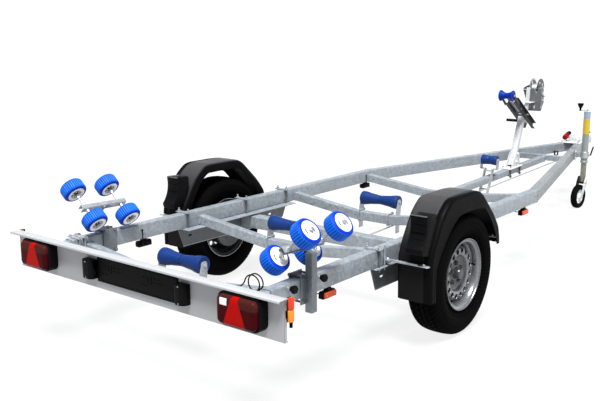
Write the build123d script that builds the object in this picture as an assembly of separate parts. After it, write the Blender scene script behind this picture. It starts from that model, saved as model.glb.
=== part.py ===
from build123d import *
import math
import os

os.makedirs("parts", exist_ok=True)

# Single-axle boat trailer. Millimetres, +Z up, +Y towards the towing vehicle, +X to its right.
# The frame's datum plane Z = 0 lies LIFT above the ground, and Y = 0 is 48 mm behind the wheel
# centres. All pieces are laid out from that datum, then moved by (-Y_MID, LIFT) so that the origin
# is on the ground, at the centre of the trailer's footprint.

# ---- driving dimensions -------------------------------------------------------------------
Y_REAR = -1487.0          # rearmost face: the lenses of the rear lamps
Y_FRONT = 4700.0          # front tip of the coupling handle
Y_MID = (Y_REAR + Y_FRONT) / 2
LIFT = 22.0
GROUND = -LIFT

RAIL_OUT = 715.0          # outer face of a side rail, from the centre line
RAIL_W = 60.0
RAIL_Z0, RAIL_Z1 = 420.0, 510.0
RAIL_Y0 = -1270.0         # open rear end
KINK_Y = 1600.0           # where rail and drawbar arm meet
WALL = 4.0
ARM_TIP_Y = 4300.0
ARM_TIP_OUT = 70.0

CM_Z_RAIL = 419.0         # underside of a V crossmember at the rails
CM_Z_MID = 357.0          # and at its flat middle
CM_H = 60.0
CM_D = 50.0
CM_FLAT = 138.0

TYRE_R, TYRE_W = 333.0, 194.0
WHEEL_X, WHEEL_Y = 870.0, 48.0
WHEEL_Z = GROUND + TYRE_R
RIM_R = 178.0             # bead seat radius
RIM_FLANGE_R = 196.0
JOCKEY_X, JOCKEY_Y = 300.0, 3712.0
JOCKEY_TURN = -6.0        # the caster stands turned by this angle
JOCKEY_TRAIL = 72.0
JOCKEY_WHEEL_R, JOCKEY_WHEEL_W = 110.0, 56.0

BOARD_Y = -1413.0         # rear face of the light board's panel
BOARD_HALF = 906.0
BOARD_Z0, BOARD_Z1 = 363.0, 555.0
BOARD_T = 3.0

CRADLE_X, CRADLE_Y, CRADLE_Z = 716.0, -1027.0, 668.0   # rocker pivot
CRADLE_TILT = 40.0        # roller axles rise outwards by this angle
CRADLE_PITCH = -2.4       # rocker stands slightly nose down
ROLLER_A, ROLLER_B = 115.5, 112.0   # roller centres fore/aft and across, from the pivot
ROLLER_R, ROLLER_W = 66.0, 70.0
ROCK_U = -22.0            # the rocker channel sits this far inwards of the middle of its axles
AXLE_R = 6.0
RUN_CLEAR = 0.05          # radial running clearance

OUT = {}


def box(x0, x1, y0, y1, z0, z1):
    return Pos((x0 + x1) / 2, (y0 + y1) / 2, (z0 + z1) / 2) * Box(abs(x1 - x0), abs(y1 - y0), abs(z1 - z0))


def rod(a, b, r):
    # solid cylinder from point a to point b
    a, b = Vector(*a), Vector(*b)
    d = b - a
    return Plane(origin=a, z_dir=d) * Cylinder(r, d.length, align=(Align.CENTER, Align.CENTER, Align.MIN))


def ring(a, b, r_out, r_in):
    a, b = Vector(*a), Vector(*b)
    d = b - a
    return (Plane(origin=a, z_dir=d) * Cylinder(r_out, d.length, align=(Align.CENTER, Align.CENTER, Align.MIN))
            - Plane(origin=a - d * 0.5, z_dir=d) * Cylinder(r_in, 2 * d.length, align=(Align.CENTER, Align.CENTER, Align.MIN)))


def poly_z(points, z0, z1):
    # plan outline extruded upwards
    return Pos(0, 0, z0) * extrude(Plane.XY * make_face(Polyline(*points, close=True)), z1 - z0)


def poly_y(points, y0, y1):
    # outline in X and Z extruded along Y
    face = Plane(origin=(0, y0, 0), x_dir=(1, 0, 0), z_dir=(0, -1, 0)) * make_face(Polyline(*points, close=True))
    return extrude(face, amount=y1 - y0, dir=(0, 1, 0))


def poly_x(points, x0, x1):
    # outline in Y and Z extruded along X
    face = Plane(origin=(x0, 0, 0), x_dir=(0, 1, 0), z_dir=(1, 0, 0)) * make_face(Polyline(*points, close=True))
    return extrude(face, amount=x1 - x0, dir=(1, 0, 0))


def put(name, *solids):
    OUT.setdefault(name, []).extend(solids)


def mirror_x(shape):
    return mirror(shape, about=Plane.YZ)


def both(name, shape):
    put(name, shape, mirror_x(shape))


# ---- side rails and drawbar arms ----------------------------------------------------------
arm_slope = (RAIL_OUT - ARM_TIP_OUT) / (ARM_TIP_Y - KINK_Y)
arm_len = math.hypot(1.0, arm_slope)


def arm_x(y, inset=0.0):
    # distance of a line parallel to the arm's outer face from the centre line
    return RAIL_OUT - inset * arm_len - arm_slope * (y - KINK_Y)


def kink_at(inset):
    # where the offset rail line and the offset arm line meet
    return KINK_Y - (inset * arm_len - inset) / arm_slope


rail_o = [(RAIL_OUT, RAIL_Y0), (RAIL_OUT, KINK_Y), (RAIL_OUT - RAIL_W, kink_at(RAIL_W)), (RAIL_OUT - RAIL_W, RAIL_Y0)]
rail_i = [(RAIL_OUT - WALL, RAIL_Y0 - 10), (RAIL_OUT - WALL, KINK_Y + 10), (RAIL_OUT - RAIL_W + WALL, KINK_Y + 10),
          (RAIL_OUT - RAIL_W + WALL, RAIL_Y0 - 10)]
rail = poly_z(rail_o, RAIL_Z0, RAIL_Z1) - poly_z(rail_i, RAIL_Z0 + WALL, RAIL_Z1 - WALL)
put("rail_right", rail)
put("rail_left", mirror_x(rail))

arm_o = [(RAIL_OUT, KINK_Y), (arm_x(ARM_TIP_Y), ARM_TIP_Y), (arm_x(ARM_TIP_Y, RAIL_W), ARM_TIP_Y),
         (RAIL_OUT - RAIL_W, kink_at(RAIL_W))]
yf, yb = ARM_TIP_Y + 10, KINK_Y - 20
arm_i = [(arm_x(yb, WALL), yb), (arm_x(yf, WALL), yf), (arm_x(yf, RAIL_W - WALL), yf), (arm_x(yb, RAIL_W - WALL), yb)]
arm = poly_z(arm_o, RAIL_Z0, RAIL_Z1) - poly_z(arm_i, RAIL_Z0 + WALL, RAIL_Z1 - WALL)
put("drawbar_right", arm)
put("drawbar_left", mirror_x(arm))

# ---- V crossmembers: rear face Y ----------------------------------------------------------
CROSSMEMBERS = [  # node, rear face
    ("crossmember_rear", -1190.0),
    ("crossmember_axle", -335.0),
    ("crossmember_middle", 608.0),
    ("crossmember_front", 1542.0),
]
XI = RAIL_OUT - RAIL_W


def vee(z_rail, z_mid, h, x_end=XI, grow=0.0):
    s = (z_rail - z_mid) / (XI - CM_FLAT)
    ze = z_mid + s * (x_end - CM_FLAT)
    return [(-x_end, ze + grow), (-CM_FLAT, z_mid + grow), (CM_FLAT, z_mid + grow), (x_end, ze + grow),
            (x_end, ze + h - grow), (CM_FLAT, z_mid + h - grow), (-CM_FLAT, z_mid + h - grow), (-x_end, ze + h - grow)]


for node, y0 in CROSSMEMBERS:
    put(node, poly_y(vee(CM_Z_RAIL, CM_Z_MID, CM_H), y0, y0 + CM_D)
        - poly_y(vee(CM_Z_RAIL, CM_Z_MID, CM_H, XI + 5, 3.0), y0 + 3, y0 + CM_D - 3))

# straight nose crossmember between the arms, cut to their slope
NOSE_Y0, NOSE_Y1, NOSE_Z0, NOSE_Z1 = 3445.0, 3495.0, 424.0, 474.0
nx0, nx1 = arm_x(NOSE_Y0, RAIL_W), arm_x(NOSE_Y1, RAIL_W)
put("crossmember_nose",
    poly_z([(-nx0, NOSE_Y0), (nx0, NOSE_Y0), (nx1, NOSE_Y1), (-nx1, NOSE_Y1)], NOSE_Z0, NOSE_Z1)
    - box(-400, 400, NOSE_Y0 + 3, NOSE_Y1 - 3, NOSE_Z0 + 3, NOSE_Z1 - 3))

# ---- centre spine -------------------------------------------------------------------------
SPINE_Y0, SPINE_Y1 = 1592.0, NOSE_Y0
SPINE_Z0, SPINE_Z1 = 358.0, 412.0     # underside at each end
SPINE_H, SPINE_HALF = 50.0, 30.0


def spine_z(y):
    return SPINE_Z0 + (SPINE_Z1 - SPINE_Z0) * (y - SPINE_Y0) / (SPINE_Y1 - SPINE_Y0)


put("centre_spine",
    poly_x([(SPINE_Y0, spine_z(SPINE_Y0)), (SPINE_Y1, spine_z(SPINE_Y1)), (SPINE_Y1, spine_z(SPINE_Y1) + SPINE_H),
            (SPINE_Y0, spine_z(SPINE_Y0) + SPINE_H)], -SPINE_HALF, SPINE_HALF)
    - poly_x([(SPINE_Y0 - 9, spine_z(SPINE_Y0 - 9) + 3), (SPINE_Y1 + 9, spine_z(SPINE_Y1 + 9) + 3),
              (SPINE_Y1 + 9, spine_z(SPINE_Y1 + 9) + SPINE_H - 3), (SPINE_Y0 - 9, spine_z(SPINE_Y0 - 9) + SPINE_H - 3)],
             -SPINE_HALF + 3, SPINE_HALF - 3))

# ---- axle ---------------------------------------------------------------------------------
AXLE_Y, AXLE_Z, AXLE_S = 130.0, 365.0, 80.0      # square beam ahead of the wheel centre
AXLE_HALF = WHEEL_X - 128.0
BRACKET_T = 5.0
beam = box(-AXLE_HALF, AXLE_HALF, AXLE_Y - AXLE_S / 2, AXLE_Y + AXLE_S / 2, AXLE_Z - AXLE_S / 2, AXLE_Z + AXLE_S / 2)
beam = fillet(beam.edges().filter_by(Axis.X), 8)
bore = box(-AXLE_HALF - 5, AXLE_HALF + 5, AXLE_Y - AXLE_S / 2 + 6, AXLE_Y + AXLE_S / 2 - 6,
           AXLE_Z - AXLE_S / 2 + 6, AXLE_Z + AXLE_S / 2 - 6)
core = box(AXLE_HALF - 160, AXLE_HALF, AXLE_Y - AXLE_S / 2 + 6, AXLE_Y + AXLE_S / 2 - 6,
           AXLE_Z - AXLE_S / 2 + 6, AXLE_Z + AXLE_S / 2 - 6)
put("axle_beam", (beam - bore) + core + mirror_x(core))

# trailing arm, stub axle and brake backplate
ARM_X0, ARM_X1 = AXLE_HALF, AXLE_HALF + 18.0
t_ang = math.atan2(AXLE_Z - WHEEL_Z, AXLE_Y - WHEEL_Y)
t_len = math.hypot(AXLE_Z - WHEEL_Z, AXLE_Y - WHEEL_Y)
arm_plate = (Plane(origin=(ARM_X0, WHEEL_Y, WHEEL_Z), x_dir=(0, math.cos(t_ang), math.sin(t_ang)), z_dir=(1, 0, 0))
             * (Circle(27) + Pos(t_len, 0) * Circle(32) + make_face(Polyline((0, -27), (t_len, -32), (t_len, 32), (0, 27), close=True))))
arm_solid = extrude(arm_plate, amount=ARM_X1 - ARM_X0, dir=(1, 0, 0))
STUB_R = 16.0
stub = rod((ARM_X1 - 2, WHEEL_Y, WHEEL_Z), (WHEEL_X + 19, WHEEL_Y, WHEEL_Z), STUB_R)
backplate = rod((ARM_X1, WHEEL_Y, WHEEL_Z), (ARM_X1 + 12, WHEEL_Y, WHEEL_Z), 122) \
    + rod((ARM_X1, WHEEL_Y, WHEEL_Z), (ARM_X1 + 14, WHEEL_Y, WHEEL_Z), 32)
both("axle_arms", arm_solid + stub + backplate)

# long bracket plates that hang the beam under the rails
BR = [(-480, 419.0), (-476, 400), (-435, 295), (477, 290), (520, 317), (553, 389), (553, 419.0)]
BR_X = 695.0
web = poly_x(BR, BR_X, BR_X + BRACKET_T)
slot = box(600, 800, AXLE_Y - AXLE_S / 2 - 0.5, AXLE_Y + AXLE_S / 2 + 0.5, AXLE_Z - AXLE_S / 2 - 0.5, AXLE_Z + AXLE_S / 2 + 0.5)
shelf = box(600, 735, -480, 553, 414.5, 419.5) - box(590, XI + 1, -338, -282, 400, 430)
both("axle_brackets", (web - slot) + shelf)

# ---- road wheels --------------------------------------------------------------------------
def lathe_x(points, x_c=0.0, y_c=0.0, z_c=0.0):
    # profile of (distance along X, radius) pairs turned about an axis along X
    face = make_face(Polyline(*[(p[0], 0, p[1]) for p in points], close=True))
    return Pos(x_c, y_c, z_c) * revolve(face, Axis.X, 360)


HW = TYRE_W / 2
TYRE = [(-62, RIM_R + 0.5), (-71, RIM_FLANGE_R + 3), (-88, 224), (-HW, 262), (-93, 294), (-79, 319), (-60, 329), (-31, TYRE_R),
        (31, TYRE_R), (60, 329), (79, 319), (93, 294), (HW, 262), (88, 224), (71, RIM_FLANGE_R + 3), (62, RIM_R + 0.5),
        (52, RIM_R + 6), (72, 240), (74, 296), (56, 312), (-56, 312), (-74, 296), (-72, 240), (-52, RIM_R + 6)]
RIM = [(-84, RIM_FLANGE_R), (-71, RIM_FLANGE_R + 1), (-66, RIM_R - 1), (-45, RIM_R - 1), (-35, RIM_R - 14), (20, RIM_R - 14), (35, RIM_R - 1),
       (66, RIM_R - 1), (71, RIM_FLANGE_R + 1), (84, RIM_FLANGE_R), (84, RIM_FLANGE_R - 5), (75, RIM_FLANGE_R - 7), (70, RIM_R - 6),
       (38, RIM_R - 6), (22, RIM_R - 19), (-37, RIM_R - 19), (-47, RIM_R - 6), (-70, RIM_R - 6), (-75, RIM_FLANGE_R - 7), (-84, RIM_FLANGE_R - 5)]
# wheel disc: (x from the wheel centre, radius) from the rim well to the hub face
DISC_O = [(10, RIM_R - 18), (30, 150), (46, 138), (52, 118), (50, 104), (34, 92), (30, 80), (30, 34)]
DISC_I = [(x - 5, r) for x, r in reversed(DISC_O)]
DISC = DISC_O + DISC_I
HOLES, HOLE_PCR, HOLE_R = 16, 128.0, 11.0
NUTS, NUT_PCR = 5, 56.0

for side, name in ((1, "right"), (-1, "left")):
    tyre = lathe_x(TYRE)
    rim = lathe_x(RIM) + lathe_x(DISC)
    for k in range(HOLES):
        a = 2 * math.pi * k / HOLES
        rim -= rod((20, HOLE_PCR * math.sin(a), HOLE_PCR * math.cos(a)), (70, HOLE_PCR * math.sin(a), HOLE_PCR * math.cos(a)), HOLE_R)
    for k in range(NUTS):
        a = 2 * math.pi * k / NUTS
        c = (NUT_PCR * math.sin(a), NUT_PCR * math.cos(a))
        rim -= rod((15, *c), (40, *c), 7.0)
    # hub with drum: drum cup from HUB_IN outwards, flange against the disc, nose through it
    drum = (lathe_x([(-83, 108), (-83, 116), (-30, 116), (-22, 100), (25, 74), (25, STUB_R + RUN_CLEAR), (-40, STUB_R + RUN_CLEAR), (-40, 40),
                     (-32, 96), (-36, 108)]))
    nose = lathe_x([(25, STUB_R + RUN_CLEAR), (25, 32), (58, 32), (64, 26), (64, 0.5), (60, 0.5), (60, 24), (25.5, 24), (25.5, STUB_R + RUN_CLEAR)])
    hub = drum + nose
    for k in range(NUTS):
        a = 2 * math.pi * k / NUTS
        c = (NUT_PCR * math.sin(a), NUT_PCR * math.cos(a))
        hub += rod((10, *c), (36, *c), 6.0)
        hub += extrude(Plane(origin=(30.0, *c), x_dir=(0, 1, 0), z_dir=(1, 0, 0)) * RegularPolygon(11.0, 6), 16)
    for node, s in (("tyre", tyre), ("rim", rim), ("hub", hub)):
        s = Pos(WHEEL_X, WHEEL_Y, WHEEL_Z) * s
        put(node + "_" + name, s if side > 0 else mirror_x(s))

# ---- mudguards ----------------------------------------------------------------------------
MG_X0, MG_X1 = 772.0, 974.0
MG = [(-352, 250), (-350, 490), (-244, 678), (-165, 746), (-100, 759), (60, 759), (160, 752), (207, 729), (262, 680), (345, 603), (413, 520), (436, 450), (440, 412)]
# lower edges of the outer skirt and of the inner skirt, from rear to front
SKIRT_OUT = [(-300, 250), (-300, 420), (-235, 522), (-160, 602), (-80, 653), (0, 661), (100, 661), (205, 653), (234, 635), (300, 570), (350, 503), (386, 440), (393, 412)]
SKIRT_IN = [(-300, 250), (-300, 470), (-205, 642), (-140, 696), (-100, 702), (60, 702), (140, 696), (176, 681), (226, 636), (302, 562), (364, 482), (384, 440), (387, 412)]
MG_T = 4.0


def inward(points, d):
    # offset an open chain of points towards the wheel by d
    out = []
    for i, p in enumerate(points):
        dirs = []
        if i > 0:
            dirs.append((points[i][0] - points[i - 1][0], points[i][1] - points[i - 1][1]))
        if i < len(points) - 1:
            dirs.append((points[i + 1][0] - points[i][0], points[i + 1][1] - points[i][1]))
        ns = []
        for a, b in dirs:
            l = math.hypot(a, b)
            ns.append((b / l, -a / l))
        nx = sum(n[0] for n in ns) / len(ns)
        nz = sum(n[1] for n in ns) / len(ns)
        l = math.hypot(nx, nz)
        k = d / (l * l) if len(ns) > 1 else d
        out.append((p[0] + nx * k, p[1] + nz * k))
    return out


inner_line = inward(MG, MG_T)
guard = poly_x(MG + inner_line[::-1], MG_X0, MG_X1)
guard += poly_x(MG + SKIRT_OUT[::-1], MG_X1 - MG_T, MG_X1)
guard += poly_x(MG + SKIRT_IN[::-1], MG_X0, MG_X0 + MG_T)
guard -= box(MG_X0 - 1, MG_X0 + MG_T + 1, 393, 427, 443, 461)
put("mudguard_right", guard)
put("mudguard_left", mirror_x(guard))

# stays from the rail to the mudguard, rear and front
stay_r = box(RAIL_OUT, MG_X1 - MG_T, -386, -358, 446, 458)
stay_f = box(RAIL_OUT, MG_X1 - MG_T - 1, 396, 424, 446, 458)
both("mudguard_stays", stay_r)
both("mudguard_stays", stay_f)

# wheel chocks clipped on the rear slope of each mudguard, the left one nearer the rail
CHOCK_X0, CHOCK_X1 = 862.0, 958.0
CHOCK_LEFT = (-884.0, -788.0)
CHOCK = [(-356, 500), (-296, 606), (-288, 655), (-292, 704), (-386, 708), (-380, 668), (-384, 620), (-402, 575), (-425, 542), (-418, 514)]
put("wheel_chocks", poly_x(CHOCK, CHOCK_X0, CHOCK_X1), poly_x(CHOCK, *CHOCK_LEFT))

# ---- side marker lamps under the rails, each with its lead up to a grommet on the inner face --
MARKERS = [  # side, y of the lamp, y of the grommet
    (1, -845.0, -890.0), (1, 1400.0, 1352.0), (-1, -752.0, -795.0), (-1, 1553.0, 1505.0)]
for side, y, yg in MARKERS:
    shell = box(RAIL_OUT - 34, RAIL_OUT + 4, y - 50, y + 50, 366, 402) + box(RAIL_OUT - 30, RAIL_OUT - 4, y - 16, y + 16, 402, 420)
    tail = box(RAIL_OUT - 67, RAIL_OUT - 61, yg - 4, yg + 4, 388, 480) + box(RAIL_OUT - 67, RAIL_OUT - 25, yg - 4, yg + 4, 388, 395)
    lamp = shell + tail
    put("side_marker_lamps", lamp if side > 0 else mirror_x(lamp))

# ---- telescopic light board ----------------------------------------------------------------
panel = box(-BOARD_HALF, BOARD_HALF, BOARD_Y, BOARD_Y + BOARD_T, BOARD_Z0, BOARD_Z1)
top = box(-BOARD_HALF - 14, BOARD_HALF + 14, BOARD_Y - 52, BOARD_Y + BOARD_T, BOARD_Z1 - BOARD_T, BOARD_Z1)
foot = box(-BOARD_HALF, BOARD_HALF, BOARD_Y, BOARD_Y + 22, BOARD_Z0, BOARD_Z0 + BOARD_T)
gland = rod((650, BOARD_Y + 1, 548), (650, BOARD_Y + 13, 548), 8)
put("light_board", panel + top + foot + gland)
TUBE_GAP = 1.0
tube_o = box(RAIL_OUT - RAIL_W + WALL + TUBE_GAP, RAIL_OUT - WALL - TUBE_GAP, BOARD_Y + BOARD_T, -560, RAIL_Z0 + WALL + TUBE_GAP, RAIL_Z1 - WALL - TUBE_GAP)
tube_i = box(RAIL_OUT - RAIL_W + WALL + TUBE_GAP + 3, RAIL_OUT - WALL - TUBE_GAP - 3, BOARD_Y - 9, -540, RAIL_Z0 + WALL + TUBE_GAP + 3, RAIL_Z1 - WALL - TUBE_GAP - 3)
grommet = rod((700, -1336, RAIL_Z1 - WALL - TUBE_GAP - 1), (700, -1336, RAIL_Z1 - WALL - TUBE_GAP + 4), 8)
put("board_tubes", (tube_o - tube_i) + grommet, mirror_x(tube_o - tube_i))

# lamp lead: out of its gland, a loose coil of one and a half turns above the tube, and down into the grommet
LEAD_R = 3.0
COIL_X, COIL_Z, COIL_R, COIL_N = 692.0, 562.0, 37.0, 12
lead = [(650.0, BOARD_Y + 13, 548.0), (650.0, BOARD_Y + 27, 548.0)]
for k in range(19):
    a = math.pi - 2 * math.pi * k / COIL_N
    lead.append((COIL_X + COIL_R * math.cos(a), BOARD_Y + 41 + 1.9 * k, COIL_Z + COIL_R * math.sin(a)))
lead += [(724.0, -1337.0, 541.0), (700.0, -1336.0, 527.0), (700.0, -1336.0, RAIL_Z1 - WALL - TUBE_GAP + 4)]
lead_v = [Vector(*p) for p in lead]
lead_r = []
for k in range(1, len(lead_v) - 1):
    run_a, run_b = lead_v[k] - lead_v[k - 1], lead_v[k + 1] - lead_v[k]
    half = math.radians(run_a.get_angle(run_b)) / 2
    lead_r.append(0.45 * min(run_a.length, run_b.length) / math.tan(half))
route = FilletPolyline(*lead_v, radius=lead_r)
lead_cord = sweep(Plane(origin=route @ 0, z_dir=route % 0) * Circle(LEAD_R), path=route)
print("board_cable: bends %.0f to %.0f mm, length %.0f mm, volume %.0f of %.0f mm3"
      % (min(lead_r), max(lead_r), route.length, lead_cord.volume, math.pi * LEAD_R ** 2 * route.length))
put("board_cable", lead_cord)

LAMP_X, LAMP_W, LAMP_Z0, LAMP_Z1 = 702.0, 236.0, 392.0, 540.0
lamp = box(LAMP_X - LAMP_W / 2, LAMP_X + LAMP_W / 2, Y_REAR, BOARD_Y, LAMP_Z0, LAMP_Z1)
lamp = fillet(lamp.edges().filter_by(Axis.Y), 36)
lamp = chamfer(lamp.faces().sort_by(Axis.Y)[0].edges(), 10)
both("rear_lamps", lamp)
end_lamp = box(BOARD_HALF + 2, BOARD_HALF + 26, BOARD_Y + 8, BOARD_Y + 32, 452, 555) + box(BOARD_HALF - 20, BOARD_HALF + 4, BOARD_Y + 3, BOARD_Y + 14, 470, 500) \
    + rod((BOARD_HALF + 15, BOARD_Y + 20, 428), (BOARD_HALF + 15, BOARD_Y + 20, 455), 7)
both("rear_lamps", end_lamp)

plate = box(-258, 300, BOARD_Y - 10, BOARD_Y, 402, 522)
put("plate_holder", plate)
for x0, x1 in ((-344, -264), (306, 374)):
    put("plate_holder", box(x0, x1, BOARD_Y - 45, BOARD_Y, 412, 508))

# ---- wobble roller cradles -----------------------------------------------------------------
ct, st = math.cos(math.radians(CRADLE_TILT)), math.sin(math.radians(CRADLE_TILT))
U = Vector(ct, 0, st)          # along the roller axles, outwards and up
N = Vector(-st, 0, ct)         # square to the hull
Cc = Vector(CRADLE_X, CRADLE_Y, CRADLE_Z)
cp, sp = math.cos(math.radians(CRADLE_PITCH)), math.sin(math.radians(CRADLE_PITCH))
V = Vector(0, cp, 0) + N * sp  # along the rocker, forwards
M = N * cp - Vector(0, sp, 0)  # square to the rocker and its axles


def at(u, v, m):
    return Cc + U * u + V * v + M * m


rock = Plane(origin=Cc, x_dir=U, z_dir=V)      # local x = U, local y = V x U
ysign = 1.0 if rock.y_dir.dot(M) > 0 else -1.0


def rock_box(u0, u1, m0, m1, v0, v1):
    return Plane(origin=Cc + V * ((v0 + v1) / 2), x_dir=U, z_dir=V) * Pos((u0 + u1) / 2, ysign * (m0 + m1) / 2, 0) * Box(u1 - u0, m1 - m0, v1 - v0)


rocker = rock_box(ROCK_U - 14, ROCK_U + 14, -15, 17, -150, 150) - rock_box(ROCK_U - 11, ROCK_U + 11, -20, 14, -160, 160)
for sgn in (-1, 1):
    rocker += rod(at(-ROLLER_B - 46, sgn * ROLLER_A, 0), at(ROLLER_B + 46, sgn * ROLLER_A, 0), AXLE_R)
    for u0, u1 in ((-72, ROCK_U - 13), (ROCK_U + 13, ROCK_U + 24), (60, 72)):
        rocker += rod(at(u0, sgn * ROLLER_A, 0), at(u1, sgn * ROLLER_A, 0), 10)
pin_hole = rod(at(ROCK_U - 25, 0, 0), at(ROCK_U + 25, 0, 0), AXLE_R + RUN_CLEAR)
rocker -= pin_hole
put("rocker_right", rocker)
put("rocker_left", mirror_x(rocker))

roller_prof = [(-ROLLER_W / 2, 34), (-ROLLER_W / 2, 54), (-ROLLER_W / 2 + 8, ROLLER_R), (ROLLER_W / 2 - 8, ROLLER_R), (ROLLER_W / 2, 54),
               (ROLLER_W / 2, 34), (ROLLER_W / 2 - 10, 30), (ROLLER_W / 2 - 10, 12), (ROLLER_W / 2, 12), (ROLLER_W / 2, AXLE_R + RUN_CLEAR),
               (-ROLLER_W / 2, AXLE_R + RUN_CLEAR), (-ROLLER_W / 2, 12), (-ROLLER_W / 2 + 10, 12), (-ROLLER_W / 2 + 10, 30)]
roller0 = lathe_x(roller_prof)
ROLLERS = [  # name, fore/aft sign, across sign
    ("rear_inner", -1, -1), ("rear_outer", -1, 1), ("front_inner", 1, -1), ("front_outer", 1, 1)]
for rn, sv, su in ROLLERS:
    c = at(su * ROLLER_B, sv * ROLLER_A, 0)
    r = Plane(origin=c, x_dir=U, z_dir=M) * roller0
    put("wobble_right_" + rn, r)
    put("wobble_left_" + rn, mirror_x(r))

# posts: square tube outside the rail, tongue up into the rocker, clamp plate inside the rail
POST_X0, POST_X1 = RAIL_OUT + 6.0, RAIL_OUT + 46.0
post = box(POST_X0, POST_X1, CRADLE_Y - 20, CRADLE_Y + 20, 355, 630) - box(POST_X0 + 3, POST_X1 - 3, CRADLE_Y - 17, CRADLE_Y + 17, 350, 622)
post += box(RAIL_OUT + 0.5, RAIL_OUT + 6.5, CRADLE_Y - 48, CRADLE_Y + 48, 392, 528)
Cr = at(ROCK_U, 0, 0)
tongue = Plane(origin=Cr, x_dir=U, z_dir=N) * (Pos(0, 0, -22.5) * Box(16, 30, 45)) + rod(Cr - U * 8, Cr + U * 8, 11) \
    + rod(Cr - U * 21, Cr + U * 21, AXLE_R)
neck = poly_y([(712, 622), (POST_X1, 622), (POST_X1, 630), (745, 634), (724, 641), (712, 634)], CRADLE_Y - 15, CRADLE_Y + 15)
pl = box(XI - 7, XI - 1, CRADLE_Y - 48, CRADLE_Y + 48, 392, 528)
bolts = None
for dy in (-36, 36):
    for z in (404, 518):
        b = rod((XI - 13, CRADLE_Y + dy, z), (RAIL_OUT + 18, CRADLE_Y + dy, z), 5)
        bolts = b if bolts is None else bolts + b
both("cradle_posts", post + tongue + neck + pl + bolts)

# hand knobs on the outside of the rails, which lock the board tubes: (y, z)
KNOBS = [(-1161.0, 494.0), (-944.0, 494.0)]
for y, z in KNOBS:
    both("clamp_knobs", rod((RAIL_OUT + 0.5, y, z), (RAIL_OUT + 20, y, z), 5) + rod((RAIL_OUT + 18, y, z), (RAIL_OUT + 48, y, z), 19))

# ---- keel rollers and their brackets --------------------------------------------------------
KEEL = [  # name, axis y, axis z, half length, crossmember front face
    ("keel_roller_1", -1100.0, 478.0, 142.0, -1140.0),
    ("keel_roller_2", -245.0, 492.0, 147.0, -285.0),
    ("keel_roller_3", 698.0, 492.0, 140.0, 658.0),
]
KEEL_R, KEEL_WAIST = 45.0, 30.0
for node, y, z, h, yf in KEEL:
    prof = [(-h, AXLE_R + RUN_CLEAR), (-h, KEEL_R - 3), (-h + 4, KEEL_R), (-h + 40, KEEL_R - 4), (-22, KEEL_WAIST + 1), (-4, KEEL_WAIST), (-4, KEEL_WAIST - 4),
            (4, KEEL_WAIST - 4), (4, KEEL_WAIST), (22, KEEL_WAIST + 1), (h - 40, KEEL_R - 4), (h - 4, KEEL_R), (h, KEEL_R - 3), (h, AXLE_R + RUN_CLEAR)]
    put(node, lathe_x(prof, 0, y, z))
    legs = box(-h - 6, h + 6, yf, yf + 5, CM_Z_MID, CM_Z_MID + CM_H)
    for s in (-1, 1):
        x0, x1 = sorted((s * (h + 1.0), s * (h + 6.0)))
        legs += poly_x([(yf, 292), (yf + 45, 292), (y + 20, z + 20), (y - 20, z + 20), (yf, z - 60)], x0, x1)
    legs += rod((-h - 14, y, z), (h + 14, y, z), AXLE_R)
    put("keel_brackets", legs)

# tall stand with the narrow front keel roller, astride the spine
K4_Y, K4_Z, K4_H, K4_R = 2342.0, 560.0, 66.0, 40.0
K4_FOOT_Y, K4_FOOT_Z = 2250.0, 300.0
prof = [(-K4_H, AXLE_R + RUN_CLEAR), (-K4_H, K4_R - 4), (-K4_H + 5, K4_R), (-4, K4_R - 5), (-3, K4_R - 8), (3, K4_R - 8), (4, K4_R - 5), (K4_H - 5, K4_R),
        (K4_H, K4_R - 4), (K4_H, AXLE_R + RUN_CLEAR)]
put("keel_roller_4", lathe_x(prof, 0, K4_Y, K4_Z))
stand = rod((-K4_H - 14, K4_Y, K4_Z), (K4_H + 14, K4_Y, K4_Z), AXLE_R)
for s in (-1, 1):
    x0, x1 = sorted((s * (K4_H + 1.0), s * (K4_H + 6.0)))
    stand += poly_x([(K4_Y - 22, K4_Z + 15), (K4_Y + 22, K4_Z + 15), (K4_Y + 14, K4_Z - 70), (K4_Y - 30, K4_Z - 70)], x0, x1)
    x0, x1 = sorted((s * 30.5, s * (K4_H + 6.0)))
    stand += box(x0, x1, K4_Y - 29, K4_Y + 13, K4_Z - 75, K4_Z - 70)
    x0, x1 = sorted((s * 30.5, s * 36.0))
    stand += poly_x([(K4_Y - 30, K4_Z - 70), (K4_Y + 14, K4_Z - 70), (K4_FOOT_Y + 22, K4_FOOT_Z), (K4_FOOT_Y - 22, K4_FOOT_Z)], x0, x1)
stand += box(-36, 36, K4_Y - 34, K4_Y + 10, 470, 475)
stand += box(-36, 36, K4_FOOT_Y - 20, K4_FOOT_Y + 22, 330, 335)
put("keel_brackets", stand)

# ---- winch post, bow arm, bow roller --------------------------------------------------------
P0 = Vector(0, 2772, 450)
P1 = Vector(0, 2936, 864)
foot_plate = poly_x([(2650, spine_z(2650) + SPINE_H + 0.5), (2900, spine_z(2900) + SPINE_H + 0.5), (2900, spine_z(2900) + SPINE_H + 8),
                     (2650, spine_z(2650) + SPINE_H + 8)], -48, 48)
low_dir = (P1 - P0).normalized()


def beam_between(a, b, wx, wy, wall=0.0):
    d = (b - a)
    pl = Plane(origin=a, x_dir=(1, 0, 0), z_dir=d)
    s = pl * Box(wx, wy, d.length, align=(Align.CENTER, Align.CENTER, Align.MIN))
    if wall:
        s -= Plane(origin=a - d.normalized() * 5, x_dir=(1, 0, 0), z_dir=d) * Box(wx - 2 * wall, wy - 2 * wall, d.length + 10, align=(Align.CENTER, Align.CENTER, Align.MIN))
    return s


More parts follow.
